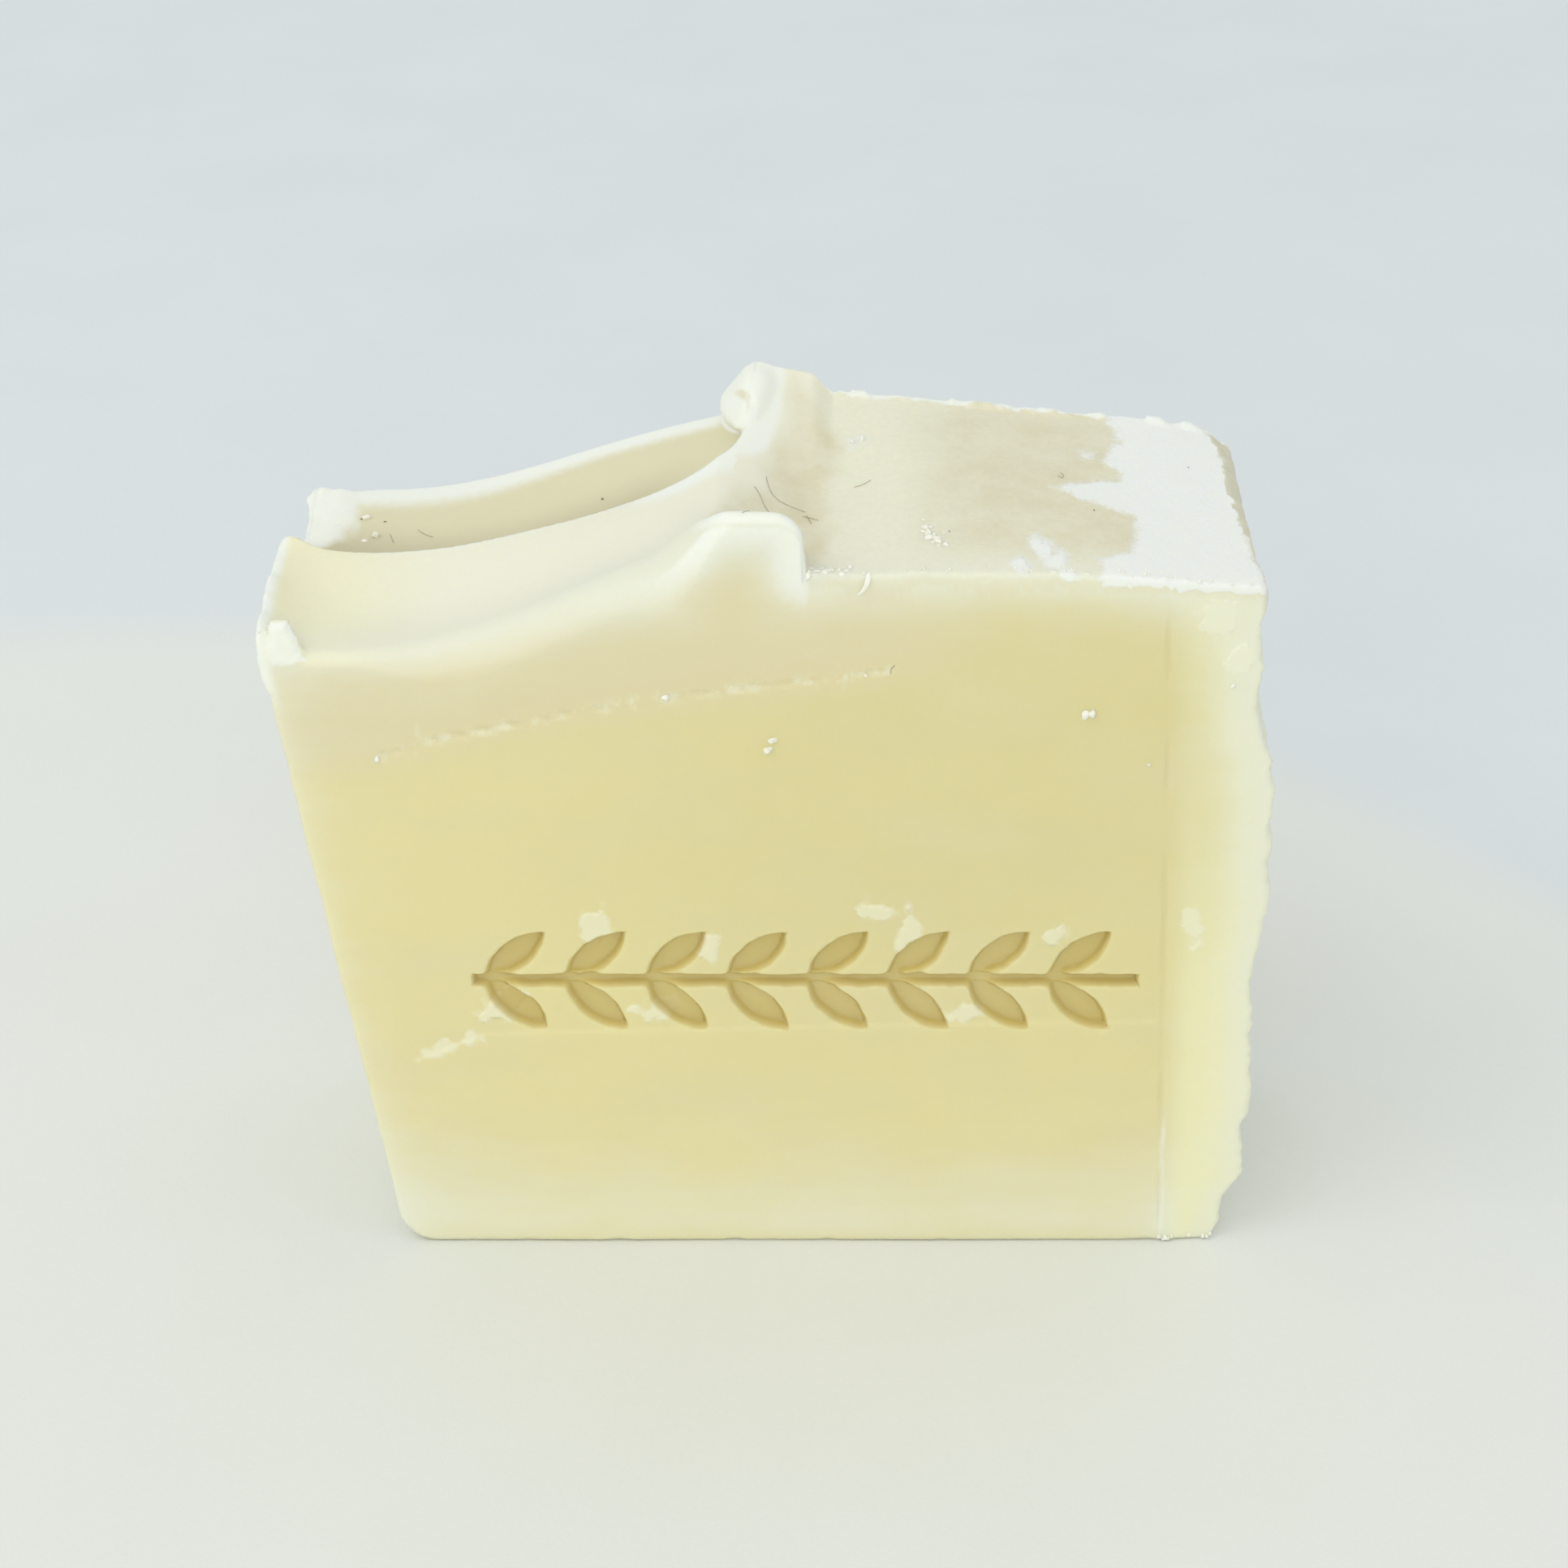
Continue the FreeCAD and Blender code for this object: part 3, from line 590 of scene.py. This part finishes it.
def mesh_points(mesh):
    """Places of a mesh's points, in millimetres."""
    places = np.empty(len(mesh.vertices) * 3)
    mesh.vertices.foreach_get("co", places)
    return places.reshape(-1, 3) / MM


def make_soap():
    """The whole slice as one closed mesh."""
    xs = grid_line(LEFT - MARGIN, RIGHT + MARGIN, [(LEFT - MARGIN, RIGHT + MARGIN)])
    ys = grid_line(FRONT - MARGIN, BACK + MARGIN, [(FRONT - MARGIN, BACK + MARGIN)])
    stamp_zone, top_zone = (21, 36), (57, 78)
    zs = grid_line(-MARGIN, PEAK + 2.5, [stamp_zone, top_zone])
    x, y, z = np.meshgrid(xs, ys, zs, indexing="ij", sparse=True)
    field = soap_field(x, y, z, top_steepness(x, y))
    points, quads = surface_net(field, (xs, ys, zs))
    normals, distance = field_normal(points)
    points = points - normals * np.clip(distance, -FINE / 2, FINE / 2)[:, None]
    soap = new_object("soap_dressed", points, quads)
    reduce = soap.modifiers.new("Reduce", "DECIMATE")
    reduce.ratio = min(1.0, TRIANGLES / (2 * len(quads)))
    apply_modifiers(soap)
    points = mesh_points(soap.data)
    normals, _ = field_normal(points)
    soap.data.shade_smooth()
    soap.data.normals_split_custom_set_from_vertices(normals.tolist())
    return soap


def apply_modifiers(item):
    """Turn the object's modifiers into its mesh."""
    graph = bpy.context.evaluated_depsgraph_get()
    mesh = bpy.data.meshes.new_from_object(item.evaluated_get(graph))
    item.modifiers.clear()
    item.data = mesh


def set_mask(mesh, name, values):
    """Keep one number for each point of the mesh, for its material to read."""
    mask = mesh.attributes.new(name, "FLOAT", "POINT")
    mask.data.foreach_set("value", np.broadcast_to(values, len(mesh.vertices)).astype(np.float32))


def dried_and_bottom_shade_share(x, y, z, below, near_front):
    """How far the soap has dried pale, which it does towards the edges of a face. Right at the bottom it
    is less pale: painted shade on the rounded bottom edge.
    """
    from_left = np.maximum(x - left_x(z), 0)
    from_right = np.maximum(right_x(y, z) - x, 0)
    edge = 0.42 * np.exp(-from_left / 3.2) + np.exp(-(from_right / 4.2) ** 2)
    # Paler towards the bottom of the face, but less pale right at the bottom: painted shade on the
    # rounded bottom edge
    edge = edge + 0.62 * np.exp(-(np.maximum(z, 0) / 10.5) ** 1.6) - 0.25 * np.exp(-(z / 1.6) ** 2)
    strength = 0.5 + 0.5 * smooth(x, -20, -8) - 0.08 * smooth(x, 2, 6)
    edge = edge + strength * np.exp(-(below / (4.6 - 1.0 * smooth(x, -2, 8))) ** 1.25)
    edge = edge + 0.05 * smooth(x, strip_x(z) - 0.1, strip_x(z) + 0.1) * near_front
    return np.clip(edge, 0, 1)


def smear_and_highlight_share(x, y, z):
    """How pale the front slope's lower edge and the place under the nose are: partly the cutter's smear,
    partly a painted highlight on the rounded edge.
    """
    top = front_section(x) + 4.6 * smooth(x, -12, -1.5) * (1 - smooth(x, 1.5, 4))
    start = np.interp(x, SMEAR_AND_HIGHLIGHT_X, SMEAR_AND_HIGHLIGHT_START)
    end = np.interp(x, SMEAR_AND_HIGHLIGHT_X, SMEAR_AND_HIGHLIGHT_END)
    band = 1 - smooth(top - z, start, end)
    band = band * (0.5 + 0.5 * smooth(x, -34, -14) - 0.5 * smooth(x, 2.8, 6))
    reach = 3.4 + 4.0 * (1 - smooth(x, -9, -4))
    return band * smooth(FRONT - y, -reach, -0.9)


def crest_share(x, y, behind):
    """How white the crest is, from the left rim to the peak."""
    from_crest = right_of_crest(x, y)
    crest = 0.5 * smooth(behind, -1.0, 0) * smooth(x, -42, -30)
    crest = np.maximum(crest, smooth(behind, -3.2, -0.3) * smooth(x, -16, -7) * (x < -3))
    to_peak = (1 - smooth(from_crest, 1.5, 3.4)) * smooth(from_crest, -0.5, 0) * smooth(y, 1, 5)
    return np.maximum(crest, to_peak) * (1 - smooth(behind, 0.8, 1.6))


def nose_share(x, y, below, on_top, near_front):
    """How white the nose is, on its top and on its front."""
    top = smooth(nose_height(x, y), 0.8, 2.5) * (1 - smooth(y, FRONT + 3, FRONT + 6))
    top = top * smooth(x, -8.5, -4.5)
    front = np.exp(-(below / 3.3) ** 2) * smooth(x, -15, -5) * (1 - smooth(x, 2.8, 3.4))
    return np.maximum(0.85 * top * on_top, front * near_front * (1 - on_top))


def rim_share(x, y, z, on_top):
    """How white the left rim is."""
    side = (1 - smooth(x - left_x(z), 0.4, 1.9)) * smooth(z, 52, 60)
    return np.maximum(side, 0.55 * smooth(rim_height(x, y), 0.5, 3.0) * on_top)


def back_edge_share(x, y):
    """How white the edge along the back cut is: broad on the back ridge, ragged on the deck."""
    ridge = smooth(y, BACK - 4.2 - 1.8 * smooth(-x, 14, 30), BACK - 0.8) * (1 - smooth(x, -6, 0))
    ragged = y + 0.5 * rough(45, 2, x / 0.9, y)
    return np.maximum(ridge, 0.9 * smooth(ragged, BACK - 1.1, BACK - 0.5) * smooth(x, 2, 6))


def set_soap_masks(mesh):
    """Where the soap is pale, stained, dusty or stamped, for the material."""
    x, y, z = mesh_points(mesh).T
    height = top_height(x, y)
    on_top = smooth(z, height - 1.3, height - 0.35)
    near_front = smooth(-y, -FRONT - 1.6, -FRONT - 0.9)
    behind = behind_crest(x, y)
    below = np.maximum(below_top(x, z), 0)
    set_mask(mesh, "top", on_top)
    set_mask(mesh, "dried_and_bottom_shade", dried_and_bottom_shade_share(x, y, z, below, near_front) * (1 - on_top))
    set_mask(mesh, "smear_and_highlight", smear_and_highlight_share(x, y, z))

    # White edges
    chip = outline_depth(x, z, CHIP_OUTLINE) + 0.2 * rough(43, 2, x, z)
    chip = smooth(chip, -0.05, 0.15) * near_front
    streak = (1 - smooth(np.abs(x - strip_x(z) - 0.15), 0.15, 0.4)) * (1 - smooth(z, 12, 17))
    knob = 1 - smooth(knob_field(x, y, z), 0.1, 1.6)
    curl = 1 - smooth(curl_field(x, y, z), 0.3, 0.8)
    # The roll's groove, drawn as seen from the front and above, is painted shade: less white, and given
    # the brown tint colour
    groove = curl_groove(x, y, z) * curl
    white = np.maximum.reduce([nose_share(x, y, below, on_top, near_front),
                               crest_share(x, y, behind) * on_top,
                               rim_share(x, y, z, on_top), back_edge_share(x, y) * on_top,
                               knob, curl - 0.7 * groove, chip, 0.5 * streak * near_front])
    set_mask(mesh, "white", np.clip(white, 0, 1))

    # Brown tint on the deck and in the hollow beside the ridge, and painted shade in the roll's groove.
    # Right behind the crest: stain and painted shade at the foot, and a darker, yellower valley colour
    # that is partly painted shade cast by the crest.
    deck_tint = 0.85 * smooth(x, 9, 18) * smooth(y, -14, -8) * (1 - 0.4 * smooth(y, 10, 14))
    hollow = outline_depth(x, y, HOLLOW_OUTLINE) + 0.8 * rough(44, 3, x / 3, y / 3)
    hollow = smooth(hollow, -0.9, 1.5) * (1 - 0.25 * smooth(y, 6, 12))
    set_mask(mesh, "tint_and_groove_shade", np.maximum(np.maximum(deck_tint, hollow) * on_top, 0.5 * groove))
    # Foot of the back ridge right behind the crest: partly stain, partly painted shade cast by the crest
    foot = smooth(behind, 0.1, 0.7) * (1 - smooth(behind, 3.0, 8.5)) * (1 - smooth(x, -12, -5))
    set_mask(mesh, "foot", foot * on_top)
    # Valley behind the crest: a darker, yellower colour, partly the soap's own and partly painted shade
    # cast by the crest
    set_mask(mesh, "valley", smooth(behind, 0.3, 2.0) * on_top)

    # Deck, with its white powder and its chipped right end
    chipped = chipped_depth(x, y)
    set_mask(mesh, "deck", smooth(x, 2.5, 6) * on_top)
    set_mask(mesh, "ash", np.where(on_top > 0.3, ash_depth(x, y) - 3 * (chipped > 0), -3))
    set_mask(mesh, "chipped", smooth(chipped, -0.1, 0.2) * smooth(z, 62.5, 64.5))

    # Front face: ornament, flakes, scratch, the zone above the scratch and the strip at the right
    set_mask(mesh, "stamped", smooth(-stamp_gap(x, z), -0.25, 0.35) * near_front)
    inside, _ = flake_depth(x, z)
    set_mask(mesh, "flake", smooth(inside, -0.15, 0.15) * near_front)
    set_mask(mesh, "scratch", (1 - smooth(scratch_gap(x, z), 0.05, 0.7)) * near_front)
    over_scratch = z - np.interp(x, SCRATCH_X, SCRATCH_Z)
    # Peach band above the scratch: partly the face's own tone, partly painted shade under the front
    # slope's edge
    set_mask(mesh, "peach_and_shade", smooth(over_scratch, -4.5, 2.0) * (1 - smooth(x, 6, 24)) * near_front)
    strip = smooth(x, strip_x(z) - 0.4, strip_x(z) + 2.5) * (1 - 0.6 * smooth(z, 22, 48))
    strip = strip * (0.25 + 0.75 * smooth(np.maximum(right_x(y, z) - x, 0), 0.3, 3.6))
    set_mask(mesh, "strip", 0.75 * strip * near_front)


class Nodes:
    """Short names for building one material's nodes."""

    def __init__(self, name):
        self.material = bpy.data.materials.new(name)
        self.material.use_nodes = True
        self.tree = self.material.node_tree
        self.shader = self.tree.nodes["Principled BSDF"]

    def add(self, kind, inputs=(), **settings):
        """New node. Each input is a socket to read, or a value."""
        node = self.tree.nodes.new(kind)
        for name, value in settings.items():
            setattr(node, name, value)
        for key, value in dict(inputs).items():
            self.put(node.inputs[key], value)
        return node

    def put(self, socket, value):
        """Link a socket to what it reads, or set its value."""
        if isinstance(value, bpy.types.NodeSocket):
            self.tree.links.new(value, socket)
        else:
            socket.default_value = value

    def mask(self, name):
        """One of the mesh's masks."""
        return self.add("ShaderNodeAttribute", attribute_name=name).outputs["Fac"]

    def noise(self, size, detail=3.0, roughness=0.55, stretch=(1, 1, 1)):
        """Noise from 0 to 1 with bumps of about this size, in millimetres."""
        coords = self.add("ShaderNodeTexCoord").outputs["Object"]
        mapped = self.add("ShaderNodeMapping", {"Vector": coords, "Scale": stretch}).outputs["Vector"]
        inputs = {"Vector": mapped, "Scale": 1 / (size * MM), "Detail": detail, "Roughness": roughness}
        return self.add("ShaderNodeTexNoise", inputs).outputs["Fac"]

    def math(self, operation, first, second=0.0):
        """Sum, product and the like of two values."""
        return self.add("ShaderNodeMath", {0: first, 1: second}, operation=operation).outputs[0]

    def ramp(self, value, start, end, low=0.0, high=1.0):
        """Smooth step of a value."""
        inputs = {"Value": value, "From Min": start, "From Max": end, "To Min": low, "To Max": high}
        return self.add("ShaderNodeMapRange", inputs, interpolation_type="SMOOTHSTEP").outputs["Result"]

    def blend(self, share, first, second):
        """First colour where the share is 0, second where it is 1."""
        node = self.add("ShaderNodeMix", data_type="RGBA")
        self.put(node.inputs[0], share)
        self.put(node.inputs[6], first)
        self.put(node.inputs[7], second)
        return node.outputs[2]

    def finish(self, colour, roughness, bump, depth):
        """Join colour, roughness and bump to the shader. Depth is the bump's, in millimetres."""
        self.put(self.shader.inputs["Base Color"], colour)
        self.put(self.shader.inputs["Roughness"], roughness)
        node = self.add("ShaderNodeBump", {"Height": bump, "Distance": depth * MM})
        self.put(self.shader.inputs["Normal"], node.outputs["Normal"])
        return self.material


def srgb(red, green, blue):
    """Colour given as it looks on screen, 0 to 255."""
    def linear(value):
        value = value / 255
        return value / 12.92 if value <= 0.04045 else ((value + 0.055) / 1.055) ** 2.4
    return (linear(red), linear(green), linear(blue), 1.0)


# Colours of the soap, as they look on screen
CORE = srgb(208, 198, 140)
CORE_LIGHT = srgb(229, 218, 162)
# Peach is the face's own tone in patches, and partly painted shade in the band above the scratch
PEACH = srgb(223, 212, 170)
DRIED = srgb(232, 232, 211)
FLAKE = srgb(238, 237, 212)
# Pale colour of the front slope's rounded edge: partly smear, partly painted highlight
SMEAR_AND_HIGHLIGHT = srgb(227, 227, 207)
STRIP = srgb(240, 236, 190)
WAVE = srgb(234, 231, 210)
DECK_CREAM = srgb(233, 230, 206)
WAVE_LEFT = srgb(238, 232, 188)
# The valley colour and the foot colour after it are partly painted shade cast by the crest; the foot
# colour is also stain
VALLEY = srgb(221, 214, 178)
FOOT_STAIN_AND_SHADE = srgb(194, 185, 152)
# Brown tint colours of the deck and hollow, also used as painted shade in the roll's groove
TINT_AND_SHADE = srgb(215, 207, 179)
TINT_WARM_AND_SHADE = srgb(220, 211, 172)
WHITE = srgb(238, 239, 227)
ASH = srgb(238, 239, 231)
AMBER = srgb(200, 177, 96)
CHIPPED = srgb(214, 209, 184)
CRUMB_WHITE = srgb(250, 250, 244)
CRUMB_CREAM = srgb(236, 232, 206)
FIBRE_DARK = srgb(124, 116, 100)
FIBRE_LIGHT = srgb(160, 150, 130)
PAPER_NEAR = srgb(229, 230, 223)
PAPER_FAR = srgb(222, 226, 226)
PAPER_PALE = srgb(240, 240, 236)


def soap_material():
    """Waxy translucent soap: yellow core, dried pale edges, tinted deck and white ash."""
    n = Nodes("soap_waxy")
    soft = n.noise(9.0, 3.0)
    grain = n.noise(0.7, 4.0, 0.6)
    powder = n.noise(0.35, 5.0, 0.7)

    coords = n.add("ShaderNodeTexCoord").outputs["Object"]
    place = n.add("ShaderNodeSeparateXYZ", {"Vector": coords}).outputs
    leftness = n.ramp(place["X"], 0.012, -0.036)
    lightness = n.math("ADD", n.math("MULTIPLY", soft, 0.3), 0.5)
    colour = n.blend(lightness, CORE, CORE_LIGHT)
    colour = n.blend(n.math("MULTIPLY", leftness, 0.9), colour, CORE_LIGHT)
    lowness = n.ramp(place["Z"], 0.042, 0.008, 0.0, 0.7)
    colour = n.blend(lowness, colour, CORE_LIGHT)
    # Peach in random patches, and in the band above the scratch, where it is partly painted shade
    patches = n.ramp(n.noise(11.0, 4.0, 0.6, (0.6, 1, 1.4)), 0.42, 0.72, 0.0, 0.45)
    colour = n.blend(n.math("MAXIMUM", n.mask("peach_and_shade"), patches), colour, PEACH)
    cloudy = n.noise(5.0, 4.0, 0.6, (0.5, 1, 1.6))
    # Dried pale edges, less pale right at the bottom as painted shade on the rounded bottom edge
    dried_and_bottom_shade = n.math("ADD", n.mask("dried_and_bottom_shade"), n.math("MULTIPLY", n.math("SUBTRACT", cloudy, 0.5), 0.4))
    colour = n.blend(n.ramp(dried_and_bottom_shade, 0.0, 1.0), colour, DRIED)
    colour = n.blend(n.mask("strip"), colour, STRIP)

    top = n.blend(n.mask("deck"), WAVE, DECK_CREAM)
    top = n.blend(n.ramp(place["X"], -0.026, -0.040, 0.0, 0.6), top, WAVE_LEFT)
    # Valley colour: partly the soap's own, partly painted shade cast by the crest
    top = n.blend(n.mask("valley"), top, VALLEY)
    # Brown tint of the deck and hollow, and painted shade in the roll's groove
    tint_noise = n.ramp(n.noise(4.0, 6.0, 0.65), 0.3, 0.7, 0.45, 1.0)
    top = n.blend(n.math("MULTIPLY", n.mask("tint_and_groove_shade"), tint_noise), top, n.blend(soft, TINT_AND_SHADE, TINT_WARM_AND_SHADE))
    # Stain and painted shade at the foot right behind the crest
    top = n.blend(n.math("MULTIPLY", n.mask("foot"), 0.8), top, FOOT_STAIN_AND_SHADE)
    speckle = n.ramp(n.noise(0.5, 4.0, 0.7), 0.35, 0.7)
    speckle = n.math("MULTIPLY", speckle, n.ramp(n.mask("deck"), 0, 1, 0.06, 0.2))
    top = n.blend(speckle, top, TINT_AND_SHADE)
    colour = n.blend(n.mask("top"), colour, top)

    # Pale band on the front slope's rounded edge: partly smear, partly painted highlight
    colour = n.blend(n.mask("smear_and_highlight"), colour, SMEAR_AND_HIGHLIGHT)
    colour = n.blend(n.mask("chipped"), colour, CHIPPED)
    white = n.math("ADD", n.mask("white"), n.math("MULTIPLY", n.math("SUBTRACT", grain, 0.5), 0.3))
    colour = n.blend(n.ramp(white, 0.15, 0.95), colour, WHITE)
    colour = n.blend(n.math("MULTIPLY", n.mask("flake"), 0.55), colour, FLAKE)
    scratched = n.math("MULTIPLY", n.mask("scratch"), n.ramp(n.noise(1.8, 4.0, 0.7), 0.44, 0.62))
    colour = n.blend(n.math("MULTIPLY", scratched, 0.55), colour, FLAKE)
    colour = n.blend(n.math("MULTIPLY", n.mask("stamped"), 0.95), colour, AMBER)

    fringe = n.math("ADD", n.mask("ash"), n.math("MULTIPLY", n.math("SUBTRACT", powder, 0.5), 1.8))
    ashed = n.ramp(fringe, -0.6, 0.45)
    colour = n.blend(ashed, colour, ASH)

    dull = n.math("MAXIMUM", ashed, n.math("MULTIPLY", n.mask("top"), 0.6))
    roughness = n.ramp(dull, 0.0, 1.0, 0.48, 0.92)
    dusty = n.math("MULTIPLY", powder, n.math("MULTIPLY", ashed, 0.4))
    bump = n.math("ADD", n.math("MULTIPLY", grain, 0.25), dusty)
    n.shader.inputs["Subsurface Weight"].default_value = 0.35
    n.shader.inputs["Subsurface Radius"].default_value = (1.0, 0.8, 0.4)
    n.shader.inputs["Subsurface Scale"].default_value = 0.002
    n.shader.inputs["IOR"].default_value = 1.45
    return n.finish(colour, roughness, bump, 0.12)


def crumb_material():
    """Dry white crumbs of soap."""
    n = Nodes("soap_crumbs")
    colour = n.blend(n.noise(0.6, 3.0), CRUMB_WHITE, CRUMB_CREAM)
    return n.finish(colour, 0.85, n.noise(0.25, 3.0), 0.08)


def fibre_material():
    """Dark fine hairs and specks of dirt."""
    n = Nodes("dark_fibres")
    colour = n.blend(n.noise(0.8, 2.0), FIBRE_DARK, FIBRE_LIGHT)
    return n.finish(colour, 0.7, n.noise(0.2, 2.0), 0.02)


def make_crumbs(name, places, seed):
    """Lumps of irregular shape, half sunk in the surface. Each place: x, y, z and radius."""
    chance = np.random.default_rng(seed)
    shape = bmesh.new()
    for x, y, z, radius in places:
        made = bmesh.ops.create_icosphere(shape, subdivisions=2, radius=1.0)
        spread = radius * chance.uniform(0.6, 1.25, 3)
        shift = chance.uniform(-50, 50, 3)
        for point in made["verts"]:
            lump = 1 + 0.6 * float(noise(seed, *(point.co[k] * 1.4 + shift[k] for k in range(3))))
            for k, centre in enumerate((x, y, z)):
                point.co[k] = (centre + point.co[k] * lump * spread[k]) * MM
    mesh = bpy.data.meshes.new(name)
    shape.to_mesh(mesh)
    shape.free()
    mesh.shade_smooth()
    item = bpy.data.objects.new(name, mesh)
    bpy.context.scene.collection.objects.link(item)
    return item


def make_fibres(name, paths, thickness):
    """Thin hairs along smooth lines. Each path: points in millimetres."""
    curve = bpy.data.curves.new(name, "CURVE")
    curve.dimensions = "3D"
    curve.bevel_depth = thickness * MM / 2
    curve.bevel_resolution = 1
    curve.use_fill_caps = True
    for path in paths:
        spline = curve.splines.new("NURBS")
        spline.points.add(len(path) - 1)
        for point, place in zip(spline.points, path):
            point.co = (*(value * MM for value in place), 1.0)
        spline.order_u = 3
        spline.use_endpoint_u = True
    item = bpy.data.objects.new(name, curve)
    bpy.context.scene.collection.objects.link(item)
    mesh = bpy.data.meshes.new_from_object(item)
    bpy.data.objects.remove(item)
    item = bpy.data.objects.new(name, mesh)
    bpy.context.scene.collection.objects.link(item)
    return item


def top_place(x, y, lift):
    """Place on the sculpted top."""
    return (x, y, float(top_height(np.array([x]), np.array([y]))[0]) + lift)


def front_place(x, z, lift):
    """Place on the front face."""
    return (x, FRONT + float(front_depth(np.array([x]), np.array([z]))[0]) - lift, z)


def make_shaving():
    """Thin curled shaving that hangs from the deck's front edge."""
    points, faces = [], []
    for (x, y, z), width in zip(SHAVING_LINE, SHAVING_WIDTHS):
        points += [(x - width, y, z + 0.1), (x, y - 0.12, z), (x + width, y, z - 0.1), (x, y + 0.1, z)]
    for ring in range(len(SHAVING_LINE) - 1):
        for side in range(4):
            after = (side + 1) % 4
            faces.append((4 * ring + side, 4 * ring + after, 4 * ring + 4 + after, 4 * ring + 4 + side))
    last = 4 * (len(SHAVING_LINE) - 1)
    faces += [(3, 2, 1, 0), (last, last + 1, last + 2, last + 3)]
    item = new_object("shaving", points, faces)
    item.modifiers.new("Round", "SUBSURF").levels = 2
    apply_modifiers(item)
    item.data.shade_smooth()
    return item


def crumb_places():
    """Place and radius of each loose crumb: single ones, and heaps strewn by chance."""
    chance = np.random.default_rng(5)
    crumbs = [top_place(x, y, lift) + (radius,) for x, y, lift, radius in TOP_CRUMBS]
    crumbs += [front_place(x, z, lift) + (radius,) for x, z, lift, radius in FRONT_CRUMBS]
    for _ in range(26):
        # A loose heap on the deck
        along, radius = chance.uniform(-1, 1), chance.uniform(0.10, 0.32)
        x, y = 13.5 + 0.7 * along + chance.normal(0, 0.35), -8.2 - 1.6 * along + chance.normal(0, 0.5)
        crumbs.append(top_place(x, y, -0.35 * radius) + (radius,))
    for _ in range(30):
        # Along the deck's front cut
        x, y = chance.uniform(6, 40), FRONT + chance.uniform(0.3, 1.2)
        crumbs.append(top_place(x, y, 0.0) + (chance.uniform(0.07, 0.18),))
    for _ in range(9):
        # Foot of the strip at the right of the front face
        x, z = chance.uniform(34.5, 39.8), chance.uniform(0.25, 0.6)
        crumbs.append(front_place(x, z, 0.0) + (chance.uniform(0.14, 0.3),))
    for _ in range(34):
        # Beside the nose
        x, y = chance.uniform(2.9, 6.5), chance.uniform(-14.3, -12.9)
        crumbs.append(top_place(x, y, -0.14) + (chance.uniform(0.14, 0.38),))
    return crumbs


def hair_paths():
    """Line of each fine hair."""
    paths = [[top_place(x, y, 0.06) for x, y in line] for line in HAIRS]
    paths.append([top_place(x, y, 0.05) for x, y in NOSE_HAIR])
    paths.append([front_place(x, z, lift) for x, z, lift in FRONT_HAIR])
    return paths


def make_loose_pieces():
    """Crumbs, a shaving, hairs and specks that lie on the soap."""
    dress(make_crumbs("loose_crumbs", crumb_places(), 3), crumb_material())
    dress(make_shaving(), crumb_material())
    dark = fibre_material()
    dress(make_fibres("hairs", hair_paths(), HAIR_THICKNESS), dark)
    specks = [top_place(x, y, 0.0) + (radius,) for x, y, radius in SPECKS]
    dress(make_crumbs("dirt_specks", specks, 9), dark)


def dress(item, material):
    """Give a piece its material and let it ride with the soap."""
    item.data.materials.clear()
    item.data.materials.append(material)
    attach(item, "root")


def make_floor():
    """Pale floor: warm paper in front, cooler and darker behind a soft curved border."""
    corners = [(FLOOR_SIZE * x, FLOOR_SIZE * y, 0) for x, y in ((-1, -1), (1, -1), (1, 1), (-1, 1))]
    floor = new_object("floor", corners, [(0, 1, 2, 3)])
    n = Nodes("pale_paper")
    coords = n.add("ShaderNodeTexCoord").outputs["Object"]
    place = n.add("ShaderNodeSeparateXYZ", {"Vector": coords}).outputs
    sweep = n.math("POWER", n.math("MAXIMUM", n.math("ADD", place["X"], 0.020), 0.0), 2.0)
    border = n.math("ADD", place["Y"], n.math("MULTIPLY", sweep, 6.0))
    border = n.math("ADD", border, n.math("MULTIPLY", n.noise(60.0, 1.0), 0.01))
    far = n.ramp(border, 0.098, 0.118)
    colour = n.blend(far, PAPER_NEAR, PAPER_FAR)
    mottled = n.math("MULTIPLY", n.ramp(n.noise(30.0, 4.0), 0.3, 0.7), 0.15)
    colour = n.blend(mottled, colour, PAPER_PALE)
    floor.data.materials.append(n.finish(colour, 0.9, n.noise(0.5, 3.0), 0.03))


def add_light(name, place, aim, size, power):
    """Soft square light. Place, aim and size are in millimetres."""
    light = bpy.data.lights.new(name, "AREA")
    light.size = size * MM
    light.energy = power
    light.color = LIGHT_COLOUR
    item = bpy.data.objects.new(name, light)
    bpy.context.scene.collection.objects.link(item)
    item.location = [value * MM for value in place]
    direction = item.location.copy()
    for k in range(3):
        direction[k] = aim[k] * MM - item.location[k]
    item.rotation_euler = direction.to_track_quat("-Z", "Y").to_euler()


def make_light_and_camera():
    """Soft light from above and the front left, and the photograph's viewpoint."""
    world = bpy.data.worlds.new("studio")
    world.use_nodes = True
    background = world.node_tree.nodes["Background"]
    background.inputs["Color"].default_value = SKY_COLOUR
    background.inputs["Strength"].default_value = SKY_STRENGTH
    bpy.context.scene.world = world
    for name, place, aim, size, power in LIGHTS:
        add_light(name, place, aim, size, power)

    camera = bpy.data.objects.new("camera", bpy.data.cameras.new("camera"))
    bpy.context.scene.collection.objects.link(camera)
    camera.location = [value * MM for value in CAMERA_PLACE]
    camera.rotation_euler = (math.radians(CAMERA_TILT), 0, 0)
    camera.data.sensor_width = CAMERA_SENSOR
    camera.data.lens = CAMERA_LENS
    camera.data.clip_start = 0.01
    bpy.context.scene.camera = camera
    bpy.context.scene.view_settings.view_transform = "Standard"


soap_look = soap_material()
soap = make_soap()
set_soap_masks(soap.data)
dress(soap, soap_look)
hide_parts("soap_bar")
make_loose_pieces()
make_floor()
make_light_and_camera()
